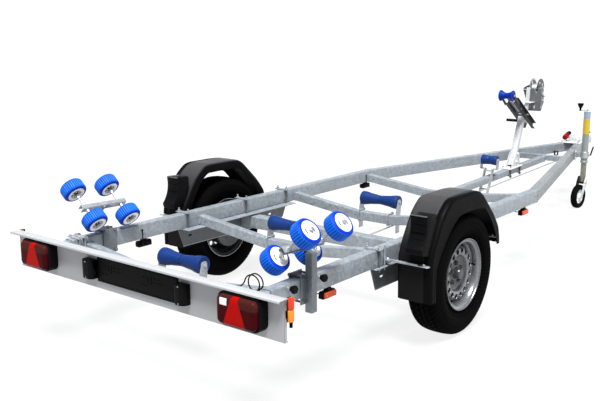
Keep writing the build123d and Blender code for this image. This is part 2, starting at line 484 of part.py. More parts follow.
lower = beam_between(P0, P1, 50, 50, 3)
cheek = None
for s in (-1, 1):
    x0, x1 = sorted((s * 25.0, s * 30.0))
    c = poly_x([(2705, spine_z(2705) + SPINE_H + 7), (2880, spine_z(2880) + SPINE_H + 7), (2862, 560), (2800, 585)], x0, x1)
    cheek = c if cheek is None else cheek + c
Q0 = Vector(0, 3016, 834)
Q1 = Vector(0, 3052, 1112)
put("winch_post", foot_plate + (lower - box(-60, 60, 2600, 3000, 400, spine_z(2800) + SPINE_H + 1)) + cheek)

# bow arm: two channels with a plate between them, carrying the upper tube
A0 = Vector(0, 2706, 1022)
A1 = Vector(0, 3112, 776)
adir = (A1 - A0).normalized()
anorm = Vector(0, -adir.Z, adir.Y)
bow = None
for s in (-1, 1):
    pl = Plane(origin=A0 + Vector(s * 41.0, 0, 0), x_dir=(1, 0, 0), z_dir=adir)
    L = (A1 - A0).length
    ch = pl * (Pos(0, 0, L / 2) * Box(30, 56, L)) - pl * (Pos(s * 4, 0, L / 2) * Box(30, 48, L + 10))
    bow = ch if bow is None else bow + ch
bow += Plane(origin=A0 + adir * 115, x_dir=(1, 0, 0), z_dir=adir) * Box(54, 6, 180)
bow += rod((-57, 2934, 888), (57, 2934, 888), 7)
put("bow_arm", bow)
BOW_Y, BOW_Z, BOW_H = 2608.0, 1066.0, 58.0
roller_b = lathe_x([(-BOW_H, AXLE_R + RUN_CLEAR), (-BOW_H, 43), (-BOW_H + 5, 46), (-26, 31), (-7, 25), (7, 25), (26, 31), (BOW_H - 5, 46), (BOW_H, 43),
                    (BOW_H, AXLE_R + RUN_CLEAR)], 0, BOW_Y, BOW_Z)
put("bow_roller", roller_b)
fork_b = rod((-BOW_H - 12, BOW_Y, BOW_Z), (BOW_H + 12, BOW_Y, BOW_Z), AXLE_R)
for s in (-1, 1):
    x0, x1 = sorted((s * (BOW_H + 1.0), s * (BOW_H + 6.0)))
    fork_b += poly_x([(BOW_Y - 12, BOW_Z + 10), (BOW_Y + 10, BOW_Z + 18), (2735, 997), (2721, 972)], x0, x1)
    x0, x1 = sorted((s * 56.0, s * (BOW_H + 6.0)))
    fork_b += poly_x([(2704, 1004), (2734, 987), (2731, 981), (2701, 998)], x0, x1)
put("bow_arm", fork_b)
# upper post: stands on a plate between the channels, with a shelf and a bolt to the winch
BOLT_Y, BOLT_Z = 3062.0, 1092.0
upper = beam_between(Q0, Q1, 28, 28, 3) + Plane(origin=Q0 + adir * 20, x_dir=(1, 0, 0), z_dir=adir) * Box(50, 6, 76)
upper += box(-20, 40, 3008, 3106, 980, 986)
upper -= rod((-60, BOLT_Y - 10, BOLT_Z), (60, BOLT_Y - 10, BOLT_Z), 6.5)
put("winch_post", upper)

# ---- winch ----------------------------------------------------------------------------------
WY, WZ = 3205.0, 1098.0       # drum axis
WP_C, WP_H = 12.0, 52.0       # middle of the winch, half width between the side plates
GEAR_R, PINION_R = 85.0, 25.0
CY = WY + 10.0                # crank shaft
CZ = WZ - math.sqrt((GEAR_R + PINION_R) ** 2 - 10.0 ** 2)
WEB_Y = 3108.0
NOTCH_X = 49.0
wframe = poly_y([(WP_C - WP_H + 14, 906), (94, 903), (94, 1102), (NOTCH_X + 23, 1102), (NOTCH_X, 1060), (NOTCH_X - 23, 1102), (WP_C - WP_H, 1100), (WP_C - WP_H, 930)],
                WEB_Y, WEB_Y + 5)
SIDES = [(-1, [(3052, 1112), (3046, 1082), (3100, 1005), (WEB_Y + 4, 990), (3140, 903), (3240, 903), (3264, 1000), (3250, 1118), (3205, 1135)]),
         (1, [(WEB_Y, 1104), (WEB_Y, 906), (3190, 903), (3214, 945), (3238, 968), (3238, 1010), (3216, 1040), (3226, 1080), (3226, 1108), (3205, 1122)])]
for side, outline in SIDES:
    x0, x1 = sorted((WP_C + side * (WP_H - 0.5), WP_C + side * (WP_H + 4.0)))
    wframe += poly_x(outline, x0, x1)
wframe += rod((WP_C - WP_H - 6, WY, WZ), (WP_C + WP_H + 10, WY, WZ), 8)
wframe += rod((WP_C - WP_H - 10, BOLT_Y - 10, BOLT_Z), (20, BOLT_Y - 10, BOLT_Z), 6)
wframe -= rod((-90, CY, CZ), (90, CY, CZ), 9 + RUN_CLEAR)
put("winch_frame", wframe)
DC, FL = 9.0, 32.0            # middle of the drum, and the distance of its flanges from there
drum = lathe_x([(DC - FL - 4, 8 + RUN_CLEAR), (DC - FL - 4, GEAR_R), (DC - FL, GEAR_R), (DC - FL, 28), (DC + FL, 28), (DC + FL, GEAR_R),
                (DC + FL + 4, GEAR_R), (DC + FL + 4, 8 + RUN_CLEAR)], 0, WY, WZ)
put("winch_drum", drum)

# crank: shaft through the side plates, arm on the left, black grip
CRANK_X = -72.0
GRIP = Vector(CRANK_X, 3028, 820)
CR0 = Vector(CRANK_X, CY, CZ)
crank = rod((CRANK_X - 4, CY, CZ), (WP_C + WP_H + 14, CY, CZ), 9) + rod((DC + FL, CY, CZ), (DC + FL + 4, CY, CZ), PINION_R - 0.3)
arm_c = Plane(origin=CR0, x_dir=(1, 0, 0), z_dir=GRIP - CR0) * Box(8, 24, (GRIP - CR0).length, align=(Align.CENTER, Align.CENTER, Align.MIN))
crank += arm_c + rod(CR0 - Vector(4, 0, 0), CR0 + Vector(4, 0, 0), 16) + rod(GRIP - Vector(4, 0, 0), GRIP + Vector(4, 0, 0), 12)
crank += rod(GRIP, GRIP - Vector(107, 0, 0), 13)
put("winch_handle", crank)

# ---- coupling -------------------------------------------------------------------------------
BALL_Z, BALL_Y = 470.0, 4640.0
BALL_R = 25.3
bed = poly_z([(-arm_x(4120), 4120), (arm_x(4120), 4120), (arm_x(ARM_TIP_Y), ARM_TIP_Y + 40), (-arm_x(ARM_TIP_Y), ARM_TIP_Y + 40)], RAIL_Z1, RAIL_Z1 + 6)
housing = box(-45, 45, 4170, 4400, RAIL_Z1 + 6, RAIL_Z1 + 12) + rod((0, 4200, 505 + 48), (0, 4430, 505 + 48), 38) + box(-38, 38, 4210, 4400, 512, 553)
nose = box(-45, 45, 4340, 4420, 470, 560)
shaft = rod((0, 4420, 530), (0, 4560, 530), 26)
head = box(-38, 38, 4545, 4672, 468, 560)
head = fillet(head.edges().filter_by(Axis.Z), 16)
head = fillet(head.faces().sort_by(Axis.Z)[-1].edges(), 14)
head -= rod((0, BALL_Y - 10, 455), (0, BALL_Y - 10, 515), BALL_R)
lever = poly_x([(4560, 560), (4700, 552), (4698, 568), (4640, 590), (4560, 580)], -12, 12)
put("coupling", bed + housing + nose + shaft + head + lever)

bl = rod((-62, 4335, 535), (-62, 4290, 588), 7) + rod((-62, 4296, 594), (-63, 4258, 581), 20) + rod((-62, 4262, 583), (-67, 4172, 552), 26) + rod((-70, 4335, 535), (-46, 4335, 535), 12)
put("brake_lever", bl)

BR0, BR1 = (100.0, 330.0, 322.0), (30.0, 4180.0, 396.0)
put("brake_rod", rod(BR0, BR1, 5) + box(20, 180, 318, 342, 314, 330))

# ---- jockey wheel ---------------------------------------------------------------------------
JT_R, JT_I, JI_R = 30.0, 26.0, 25.5
J = (JOCKEY_X, JOCKEY_Y)
jt = ring((*J, 397), (*J, 862), JT_R, JT_I) + ring((*J, 397), (*J, 412), JT_R + 4, JT_I) + rod((*J, 862), (*J, 872), JT_R + 1) \
    + rod((*J, 872), (*J, 892), 9)
kx, ky = JOCKEY_X - 56, JOCKEY_Y - 30
jt += rod((JOCKEY_X, JOCKEY_Y, 882), (kx, ky, 882), 6) + rod((kx, ky, 876), (kx, ky, 902), 9)
jt += Pos(kx, ky, 901) * Cone(13, 28, 36, align=(Align.CENTER, Align.CENTER, Align.MIN)) + rod((kx, ky, 936), (kx, ky, 945), 28)
put("jockey_tube", jt)

ax = arm_x(JOCKEY_Y)
clamp = ring((*J, 440), (*J, 500), JT_R + 7, JT_R + 0.1) + box(ax + 6, JOCKEY_X - JT_R - 1, JOCKEY_Y - 22, JOCKEY_Y + 22, 445, 495)
clamp += poly_z([(arm_x(JOCKEY_Y - 60) + 0.5, JOCKEY_Y - 60), (arm_x(JOCKEY_Y - 60) + 8, JOCKEY_Y - 60), (arm_x(JOCKEY_Y + 60) + 8, JOCKEY_Y + 60),
                 (arm_x(JOCKEY_Y + 60) + 0.5, JOCKEY_Y + 60)], 424, 506)
clamp += rod((JOCKEY_X + 33, JOCKEY_Y, 470), (JOCKEY_X + 56, JOCKEY_Y, 470), 6) + rod((JOCKEY_X + 56, JOCKEY_Y - 2, 470), (JOCKEY_X + 56, JOCKEY_Y + 60, 540), 7)
put("jockey_clamp", clamp)

FORK_TOP = 216.0
LEG_TOP = 268.0
JWZ = GROUND + JOCKEY_WHEEL_R
put("jockey_inner", rod((*J, FORK_TOP + 1), (*J, 690), JI_R))
jd = math.radians(JOCKEY_TURN)
ju = Vector(math.cos(jd), math.sin(jd), 0)          # wheel axle direction
jt_dir = Vector(math.sin(jd), -math.cos(jd), 0)     # trailing direction
wc = Vector(JOCKEY_X, JOCKEY_Y, JWZ) + jt_dir * JOCKEY_TRAIL
frame_j = Plane(origin=(JOCKEY_X, JOCKEY_Y, 0), x_dir=ju, z_dir=(0, 0, 1))   # local y = -trailing direction
gap = JOCKEY_WHEEL_W / 2 + 6
fork = frame_j * (Pos(0, -14, FORK_TOP - 6) * Box(2 * gap + 8, 66, 12))
for s in (-1, 1):
    leg = Plane(origin=Vector(JOCKEY_X, JOCKEY_Y, 0) + ju * (s * (gap + 2) - 2), x_dir=jt_dir * -1, z_dir=ju) * make_face(
        Polyline((19, LEG_TOP), (-24, LEG_TOP), (-47, FORK_TOP), (-JOCKEY_TRAIL - 16, JWZ + 6), (-JOCKEY_TRAIL - 12, JWZ - 14), (-JOCKEY_TRAIL + 12, JWZ - 14), (-JOCKEY_TRAIL + 18, JWZ + 10), (19, FORK_TOP - 6), close=True))
    fork += extrude(leg, amount=4, dir=(ju.X, ju.Y, ju.Z))
fork += rod(wc - ju * (gap + 9), wc + ju * (gap + 9), AXLE_R)
put("jockey_fork", fork)
jw = lathe_x([(-28, AXLE_R + RUN_CLEAR), (-28, 20), (-15, 25), (-15, 66), (-24, 72), (-28, 88), (-23, 103), (-12, 110), (12, 110), (23, 103), (28, 88), (24, 72),
              (15, 66), (15, 25), (28, 20), (28, AXLE_R + RUN_CLEAR)])
put("jockey_wheel", Plane(origin=wc, x_dir=ju, z_dir=(0, 0, 1)) * jw)

# ---- write ----------------------------------------------------------------------------------
for name, shapes in OUT.items():
    solids = []
    for s in shapes:
        s = Pos(0, -Y_MID, LIFT) * s
        solids.extend(s.solids())
    part = solids[0] if len(solids) == 1 else Compound(children=solids)
    export_step(part, "parts/" + name + ".step")
print(len(OUT), "nodes")
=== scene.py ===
import math
import random

import bmesh
import bpy
import numpy as np
from mathutils import Matrix, Vector


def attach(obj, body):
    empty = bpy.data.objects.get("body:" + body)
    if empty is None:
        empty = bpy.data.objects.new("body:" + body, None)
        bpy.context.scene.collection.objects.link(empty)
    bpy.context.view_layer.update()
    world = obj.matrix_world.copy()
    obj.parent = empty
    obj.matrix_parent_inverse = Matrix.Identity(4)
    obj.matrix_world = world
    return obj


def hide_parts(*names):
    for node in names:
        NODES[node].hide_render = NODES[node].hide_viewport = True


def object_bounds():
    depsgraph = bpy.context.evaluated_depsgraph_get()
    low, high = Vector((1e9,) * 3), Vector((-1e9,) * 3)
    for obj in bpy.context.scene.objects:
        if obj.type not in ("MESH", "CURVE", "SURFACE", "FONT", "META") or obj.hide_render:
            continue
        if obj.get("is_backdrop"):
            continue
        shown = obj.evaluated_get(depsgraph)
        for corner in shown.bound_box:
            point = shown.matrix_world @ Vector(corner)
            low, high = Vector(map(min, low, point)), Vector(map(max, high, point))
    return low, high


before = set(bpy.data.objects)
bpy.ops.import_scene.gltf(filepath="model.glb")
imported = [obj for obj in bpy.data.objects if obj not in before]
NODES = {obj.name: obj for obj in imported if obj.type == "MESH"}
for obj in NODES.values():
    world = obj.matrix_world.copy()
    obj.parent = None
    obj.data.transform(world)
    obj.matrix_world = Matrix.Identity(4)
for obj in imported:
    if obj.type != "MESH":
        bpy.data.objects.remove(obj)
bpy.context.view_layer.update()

scene = bpy.context.scene

# Everything below is laid out in millimetres from the frame's datum, as the CAD source is,
# and moved by (-Y_MID, LIFT) into the row frame, in metres.
Y_MID = 1606.5
LIFT = 22.0


def row(p):
    return Vector((p[0] / 1000.0, (p[1] - Y_MID) / 1000.0, (p[2] + LIFT) / 1000.0))


# ---------------------------------------------------------------------------------------------
# camera and view transform
# ---------------------------------------------------------------------------------------------
AZ, EL = math.radians(38.26), math.radians(11.70)
BACK = Vector((math.sin(AZ) * math.cos(EL), -math.cos(AZ) * math.cos(EL), math.sin(EL)))
RIGHT = Vector((math.cos(AZ), math.sin(AZ), 0.0))
UP = BACK.cross(RIGHT)
cam_data = bpy.data.cameras.new("camera")
cam = bpy.data.objects.new("camera", cam_data)
scene.collection.objects.link(cam)
cam_data.sensor_width = 36.0
cam_data.lens = 811.63 / 600.0 * 36.0
cam_data.clip_start, cam_data.clip_end = 0.05, 200.0
pose = Matrix((RIGHT, UP, BACK)).transposed().to_4x4()
pose.translation = row((2846.7, -3777.3, 1581.1))
cam.matrix_world = pose
scene.camera = cam
scene.view_settings.view_transform = "Standard"

# ---------------------------------------------------------------------------------------------
# mesh building
# ---------------------------------------------------------------------------------------------


class Build:
    """Collects shapes in millimetres and makes one mesh object of them."""

    def __init__(self):
        self.v, self.f, self.m, self.n = [], [], [], 0

    def add(self, shape, mat=0, matrix=None):
        v, f = shape
        v = np.asarray(v, float).reshape(-1, 3)
        if matrix is not None:
            a = np.array(matrix, float)
            v = v @ a[:3, :3].T + a[:3, 3]
            if np.linalg.det(a[:3, :3]) < 0:
                f = [t[::-1] for t in f]
        self.v.append(v)
        self.f.extend([tuple(i + self.n for i in t) for t in f])
        self.m.extend([mat] * len(f))
        self.n += len(v)
        return self

    def mirrored(self):
        """Adds the mirror image of all that is there, across X = 0."""
        v = np.vstack(self.v) * np.array([-1.0, 1.0, 1.0])
        f = [tuple(i + self.n for i in t[::-1]) for t in self.f]
        m = list(self.m)
        self.v.append(v)
        self.f.extend(f)
        self.m.extend(m)
        self.n *= 2
        return self

    def flipped(self):
        """A new Build that is the mirror image across X = 0."""
        b = Build()
        b.v = [np.vstack(self.v) * np.array([-1.0, 1.0, 1.0])]
        b.f = [t[::-1] for t in self.f]
        b.m = list(self.m)
        b.n = self.n
        return b

    def make(self, name, mats, body, replaces=(), slot=None, sharp=35.0):
        v = np.vstack(self.v)
        v = (v - np.array([0.0, Y_MID, -LIFT])) / 1000.0
        me = bpy.data.meshes.new(name)
        me.from_pydata(v.tolist(), [], self.f)
        for m in mats:
            me.materials.append(m)
        me.polygons.foreach_set("material_index", self.m)
        me.polygons.foreach_set("use_smooth", [True] * len(self.f))
        me.validate()
        bm = bmesh.new()
        bm.from_mesh(me)
        bmesh.ops.remove_doubles(bm, verts=list(bm.verts), dist=2e-6)
        bmesh.ops.recalc_face_normals(bm, faces=list(bm.faces))
        bm.to_mesh(me)
        bm.free()
        me.update()
        me.set_sharp_from_angle(angle=math.radians(sharp))
        ob = bpy.data.objects.new(name, me)
        scene.collection.objects.link(ob)
        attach(ob, body)
        if replaces:
            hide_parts(*replaces)
        return ob


def basis(axis, hint=None):
    """Two unit vectors square to axis."""
    w = Vector(axis).normalized()
    h = Vector(hint) if hint is not None else (Vector((0, 0, 1)) if abs(w.z) < 0.9 else Vector((0, 1, 0)))
    u = (h - w * h.dot(w)).normalized()
    return u, w.cross(u), w


def frame_of(origin, axis, hint=None):
    """Matrix whose local Z is axis and local X leans to hint."""
    u, v, w = basis(axis, hint)
    m = Matrix((u, v, w)).transposed().to_4x4()
    m.translation = Vector(origin)
    return m


def lathe(profile, origin=(0, 0, 0), axis=(0, 0, 1), seg=48, loop=False, hint=None, a0=0.0, a1=2 * math.pi):
    """profile: (distance along axis, radius) pairs; an end at radius 0 closes to a point. loop joins last to first."""
    u, v, w = (np.array(k) for k in basis(axis, hint))
    o = np.array(origin, float)
    full = abs(a1 - a0 - 2 * math.pi) < 1e-6
    ang = np.linspace(a0, a1, seg + (0 if full else 1), endpoint=not full)
    ns = len(ang)
    verts, ringi = [], []
    k = 0
    for d, r in profile:
        if r < 1e-6:
            verts.append((o + w * d)[None])
            ringi.append((k, 1))
            k += 1
        else:
            verts.append(o + w * d + r * (np.cos(ang)[:, None] * u + np.sin(ang)[:, None] * v))
            ringi.append((k, ns))
            k += ns
    faces = []
    pairs = list(zip(ringi[:-1], ringi[1:])) + ([(ringi[-1], ringi[0])] if loop else [])
    last = ns if full else ns - 1
    for (b0, n0), (b1, n1) in pairs:
        for i in range(last):
            j = (i + 1) % ns
            if n0 == 1 and n1 == 1:
                continue
            if n0 == 1:
                faces.append((b0, b1 + j, b1 + i))
            elif n1 == 1:
                faces.append((b0 + i, b0 + j, b1))
            else:
                faces.append((b0 + i, b0 + j, b1 + j, b1 + i))
    return np.vstack(verts), faces


def cyl(a, b, r, seg=24, ch=0.6, r2=None):
    """Closed cylinder from a to b with small chamfers."""
    a, b = Vector(a), Vector(b)
    L = (b - a).length
    r2 = r if r2 is None else r2
    ch = min(ch, L / 3, r / 3, r2 / 3)
    return lathe([(0, 0), (0, r - ch), (ch, r), (L - ch, r2), (L, r2 - ch), (L, 0)], a, b - a, seg)


def pipe(a, b, r_out, r_in, seg=32, ch=0.8):
    a, b = Vector(a), Vector(b)
    L = (b - a).length
    return lathe([(0, r_in), (0, r_out - ch), (ch, r_out), (L - ch, r_out), (L, r_out - ch), (L, r_in)], a, b - a, seg, loop=True)


def bm_out(bm):
    bm.verts.ensure_lookup_table()
    bm.verts.index_update()
    v = np.array([x.co for x in bm.verts], float)
    f = [tuple(x.index for x in t.verts) for t in bm.faces]
    bm.free()
    return v, f


def rbox(x0, x1, y0, y1, z0, z1, r=1.5, seg=2, matrix=None):
    """Box with rounded edges."""
    bm = bmesh.new()
    bmesh.ops.create_cube(bm, size=1.0)
    sx, sy, sz = abs(x1 - x0), abs(y1 - y0), abs(z1 - z0)
    for q in bm.verts:
        q.co = Vector((q.co.x * sx + (x0 + x1) / 2, q.co.y * sy + (y0 + y1) / 2, q.co.z * sz + (z0 + z1) / 2))
    r = min(r, sx * 0.45, sy * 0.45, sz * 0.45)
    if r > 0:
        bmesh.ops.bevel(bm, geom=list(bm.edges), offset=r, segments=seg, profile=0.5, affect="EDGES")
    v, f = bm_out(bm)
    if matrix is not None:
        a = np.array(matrix, float)
        v = v @ a[:3, :3].T + a[:3, 3]
    return v, f


def prism(points, plane, d0, d1, r=0.0, seg=2, only=None):
    """Outline extruded between d0 and d1. plane 'x': points are (y, z) and the depth runs along X; 'y': (x, z); 'z': (x, y)."""
    def at(p, d):
        if plane == "x":
            return (d, p[0], p[1])
        if plane == "y":
            return (p[0], d, p[1])
        return (p[0], p[1], d)
    bm = bmesh.new()
    a = [bm.verts.new(at(p, d0)) for p in points]
    b = [bm.verts.new(at(p, d1)) for p in points]
    bm.faces.new(a[::-1])
    bm.faces.new(b)
    n = len(points)
    for i in range(n):
        j = (i + 1) % n
        bm.faces.new((a[i], a[j], b[j], b[i]))
    bmesh.ops.recalc_face_normals(bm, faces=list(bm.faces))
    if r > 0:
        bm.edges.ensure_lookup_table()
        es = list(bm.edges)
        if only == "rims":
            sa, sb = set(a), set(b)
            es = [e for e in es if (e.verts[0] in sa and e.verts[1] in sa) or (e.verts[0] in sb and e.verts[1] in sb)]
        bmesh.ops.bevel(bm, geom=es, offset=r, segments=seg, profile=0.5, affect="EDGES")
    return bm_out(bm)


def tube(points, r, seg=12, caps=True):
    """Round tube along points, which are close together."""
    P = [Vector(p) for p in points]
    n = len(P)
    t = [(P[min(i + 1, n - 1)] - P[max(i - 1, 0)]).normalized() for i in range(n)]
    u, _, _ = basis(t[0])
    verts, faces = [], []
    rr = r if hasattr(r, "__len__") else [r] * n
    for i in range(n):
        u = (u - t[i] * u.dot(t[i])).normalized()
        w = t[i].cross(u)
        for k in range(seg):
            a = 2 * math.pi * k / seg
            verts.append(P[i] + (u * math.cos(a) + w * math.sin(a)) * rr[i])
    for i in range(n - 1):
        for k in range(seg):
            j = (k + 1) % seg
            faces.append((i * seg + k, i * seg + j, (i + 1) * seg + j, (i + 1) * seg + k))
    if caps:
        faces.append(tuple(range(seg))[::-1])
        faces.append(tuple((n - 1) * seg + k for k in range(seg)))
    return np.array([tuple(v) for v in verts]), faces


def arc_path(points, radius, steps=6):
    """Polyline with rounded corners."""
    P = [Vector(p) for p in points]
    out = [P[0]]
    for i in range(1, len(P) - 1):
        a, b = (P[i - 1] - P[i]).normalized(), (P[i + 1] - P[i]).normalized()
        ang = a.angle(b)
        cut = min(radius / math.tan(ang / 2), (P[i - 1] - P[i]).length * 0.49, (P[i + 1] - P[i]).length * 0.49)
        rad = cut * math.tan(ang / 2)
        s, e = P[i] + a * cut, P[i] + b * cut
        c = P[i] + (a + b).normalized() * (rad / math.sin(ang / 2))
        for k in range(steps + 1):
            q = s.lerp(e, k / steps) - c
            out.append(c + q.normalized() * rad)
    out.append(P[-1])
    return out


def hexagon(origin, axis, across, height, hint=None):
    """Hexagonal nut or bolt head, chamfered on its outer face."""
    u, v, w = basis(axis, hint)
    o = Vector(origin)
    R = across / math.sqrt(3)
    ch = across * 0.07
    verts, faces = [], []
    for d, r in ((0, R), (height - ch, R), (height, R - ch * 1.4)):
        for k in range(6):
            a = math.pi / 3 * k
            verts.append(o + w * d + (u * math.cos(a) + v * math.sin(a)) * r)
    for L in range(2):
        for k in range(6):
            j = (k + 1) % 6
            faces.append((L * 6 + k, L * 6 + j, L * 6 + 6 + j, L * 6 + 6 + k))
    faces.append(tuple(range(12, 18)))
    faces.append(tuple(range(5, -1, -1)))
    return np.array([tuple(q) for q in verts]), faces


def bolt(b, origin, axis, size=10.0, stub=0.0, mat=0, washer=True, spin=0.0):
    """Hex head or nut with washer, and a threaded stub standing out by stub."""
    o, w = Vector(origin), Vector(axis).normalized()
    k = 0.0
    if washer:
        b.add(lathe([(0, 0), (0, size * 1.05), (size * 0.16, size * 1.05), (size * 0.18, 0)], o, w, 20), mat)
        k = size * 0.17
    u, v, _ = basis(w)
    hint = u * math.cos(spin) + v * math.sin(spin)
    b.add(hexagon(o + w * k, w, size * 1.7, size * 0.7, hint), mat)
    if stub > 0:
        n = max(2, int(stub / 1.5))
        prof = [(k + size * 0.7, size * 0.5)]
        for i in range(n):
            d = k + size * 0.7 + stub * (i + 0.5) / n
            prof += [(d - stub * 0.2 / n, size * 0.5), (d + stub * 0.2 / n, size * 0.43)]
        prof += [(k + size * 0.7 + stub, size * 0.4), (k + size * 0.7 + stub, 0)]
        b.add(lathe(prof, o, w, 12), mat)


def ubolt(b, centre, across, along, down, half_w, drop, r=5.0, stub=16.0, mat=0, nuts=True, over=0.0):
    """U-bolt: two legs half_w either side of centre along across; the bow lies at centre - down * drop, nuts on the other side."""
    c, a, d = Vector(centre), Vector(across).normalized(), Vector(down).normalized()
    p = [c - a * half_w - d * (over + stub), c - a * half_w + d * drop, c + a * half_w + d * drop, c + a * half_w - d * (over + stub)]
    b.add(tube(arc_path(p, r * 1.8, 5), r, 10), mat)
    if nuts:
        for s in (-1, 1):
            bolt(b, c + a * (half_w * s) - d * over, -d, r * 2, 0, mat)


def subdiv(ob, levels=1):
    m = ob.modifiers.new("subdiv", "SUBSURF")
    m.levels = m.render_levels = levels
    return ob

# ---------------------------------------------------------------------------------------------
# materials: all procedural, on object coordinates
# ---------------------------------------------------------------------------------------------


class Nodes:
    """Short hand for a material's node tree."""

    def __init__(self, name):
        self.mat = bpy.data.materials.new(name)
        self.mat.use_nodes = True
        self.t = self.mat.node_tree
        self.t.nodes.clear()
        self.out = self.t.nodes.new("ShaderNodeOutputMaterial")
        self.bsdf = self.t.nodes.new("ShaderNodeBsdfPrincipled")
        self.t.links.new(self.bsdf.outputs[0], self.out.inputs[0])
        self.coord = self.t.nodes.new("ShaderNodeTexCoord").outputs["Object"]

    def link(self, a, b):
        self.t.links.new(a, b)

    def set(self, **values):
        names = {"color": "Base Color", "metal": "Metallic", "rough": "Roughness", "ior": "IOR", "spec": "Specular IOR Level",
                 "coat": "Coat Weight", "coat_rough": "Coat Roughness", "sheen": "Sheen Weight", "trans": "Transmission Weight",
                 "emit": "Emission Color", "emit_k": "Emission Strength", "aniso": "Anisotropic", "sss": "Subsurface Weight",
                 "sss_scale": "Subsurface Scale", "alpha": "Alpha"}
        for k, v in values.items():
            s = self.bsdf.inputs[names[k]]
            if hasattr(v, "links"):
                self.link(v, s)
            elif k in ("color", "emit"):
                s.default_value = (*v, 1.0)
            else:
                s.default_value = v
        return self

    def map(self, scale=(1, 1, 1), loc=(0, 0, 0), rot=(0, 0, 0)):
        n = self.t.nodes.new("ShaderNodeMapping")
        n.inputs["Scale"].default_value = scale
        n.inputs["Location"].default_value = loc
        n.inputs["Rotation"].default_value = rot
        self.link(self.coord, n.inputs["Vector"])
        return n.outputs[0]

    def noise(self, scale, detail=2.0, rough=0.5, vec=None, distort=0.0, out="Fac"):
        n = self.t.nodes.new("ShaderNodeTexNoise")
        n.inputs["Scale"].default_value = scale
        n.inputs["Detail"].default_value = detail
        n.inputs["Roughness"].default_value = rough
        n.inputs["Distortion"].default_value = distort
        self.link(vec if vec is not None else self.coord, n.inputs["Vector"])
        return n.outputs[out]

    def voronoi(self, scale, feature="F1", out="Distance", vec=None, rand=1.0):
        n = self.t.nodes.new("ShaderNodeTexVoronoi")
        n.feature = feature
        n.inputs["Scale"].default_value = scale
        n.inputs["Randomness"].default_value = rand
        self.link(vec if vec is not None else self.coord, n.inputs["Vector"])
        return n.outputs[out]

    def wave(self, scale, vec=None, kind="BANDS", axis="X", distort=0.0, detail=0.0):
        n = self.t.nodes.new("ShaderNodeTexWave")
        n.wave_type = kind
        if kind == "BANDS":
            n.bands_direction = axis
        else:
            n.rings_direction = axis
        n.inputs["Scale"].default_value = scale
        n.inputs["Distortion"].default_value = distort
        n.inputs["Detail"].default_value = detail
        self.link(vec if vec is not None else self.coord, n.inputs["Vector"])
        return n.outputs["Fac"]

    def ramp(self, fac, stops, mode="LINEAR"):
        n = self.t.nodes.new("ShaderNodeValToRGB")
        n.color_ramp.interpolation = mode
        e = n.color_ramp.elements
        while len(e) < len(stops):
            e.new(0.5)
        for k, (p, c) in zip(e, stops):
            k.position = p
            k.color = (*c, 1.0) if hasattr(c, "__len__") else (c, c, c, 1.0)
        self.link(fac, n.inputs[0])
        return n.outputs[0]

    def rng(self, fac, a, b, lo=0.0, hi=1.0):
        n = self.t.nodes.new("ShaderNodeMapRange")
        n.inputs["From Min"].default_value, n.inputs["From Max"].default_value = lo, hi
        n.inputs["To Min"].default_value, n.inputs["To Max"].default_value = a, b
        self.link(fac, n.inputs["Value"])
        return n.outputs[0]

    def mix(self, fac, a, b, kind="MIX"):
        n = self.t.nodes.new("ShaderNodeMix")
        n.data_type = "RGBA"
        n.blend_type = kind
        for v, s in ((fac, n.inputs[0]), (a, n.inputs[6]), (b, n.inputs[7])):
            if hasattr(v, "links"):
                self.link(v, s)
            elif hasattr(v, "__len__"):
                s.default_value = (*v, 1.0)
            else:
                s.default_value = v
        return n.outputs[2]

    def math(self, op, a, b=0.0, clamp=False):
        n = self.t.nodes.new("ShaderNodeMath")
        n.operation = op
        n.use_clamp = clamp
        for v, s in ((a, n.inputs[0]), (b, n.inputs[1])):
            if hasattr(v, "links"):
                self.link(v, s)
            else:
                s.default_value = v
        return n.outputs[0]

    def sep(self, vec):
        n = self.t.nodes.new("ShaderNodeSeparateXYZ")
        self.link(vec, n.inputs[0])
        return n.outputs

    def bump(self, *layers):
        """layers: (height, strength, distance in metres)."""
        prev = None
        for h, k, d in layers:
            n = self.t.nodes.new("ShaderNodeBump")
            n.inputs["Strength"].default_value = k
            n.inputs["Distance"].default_value = d
            self.link(h, n.inputs["Height"])
            if prev is not None:
                self.link(prev, n.inputs["Normal"])
            prev = n.outputs[0]
        self.link(prev, self.bsdf.inputs["Normal"])
        return self


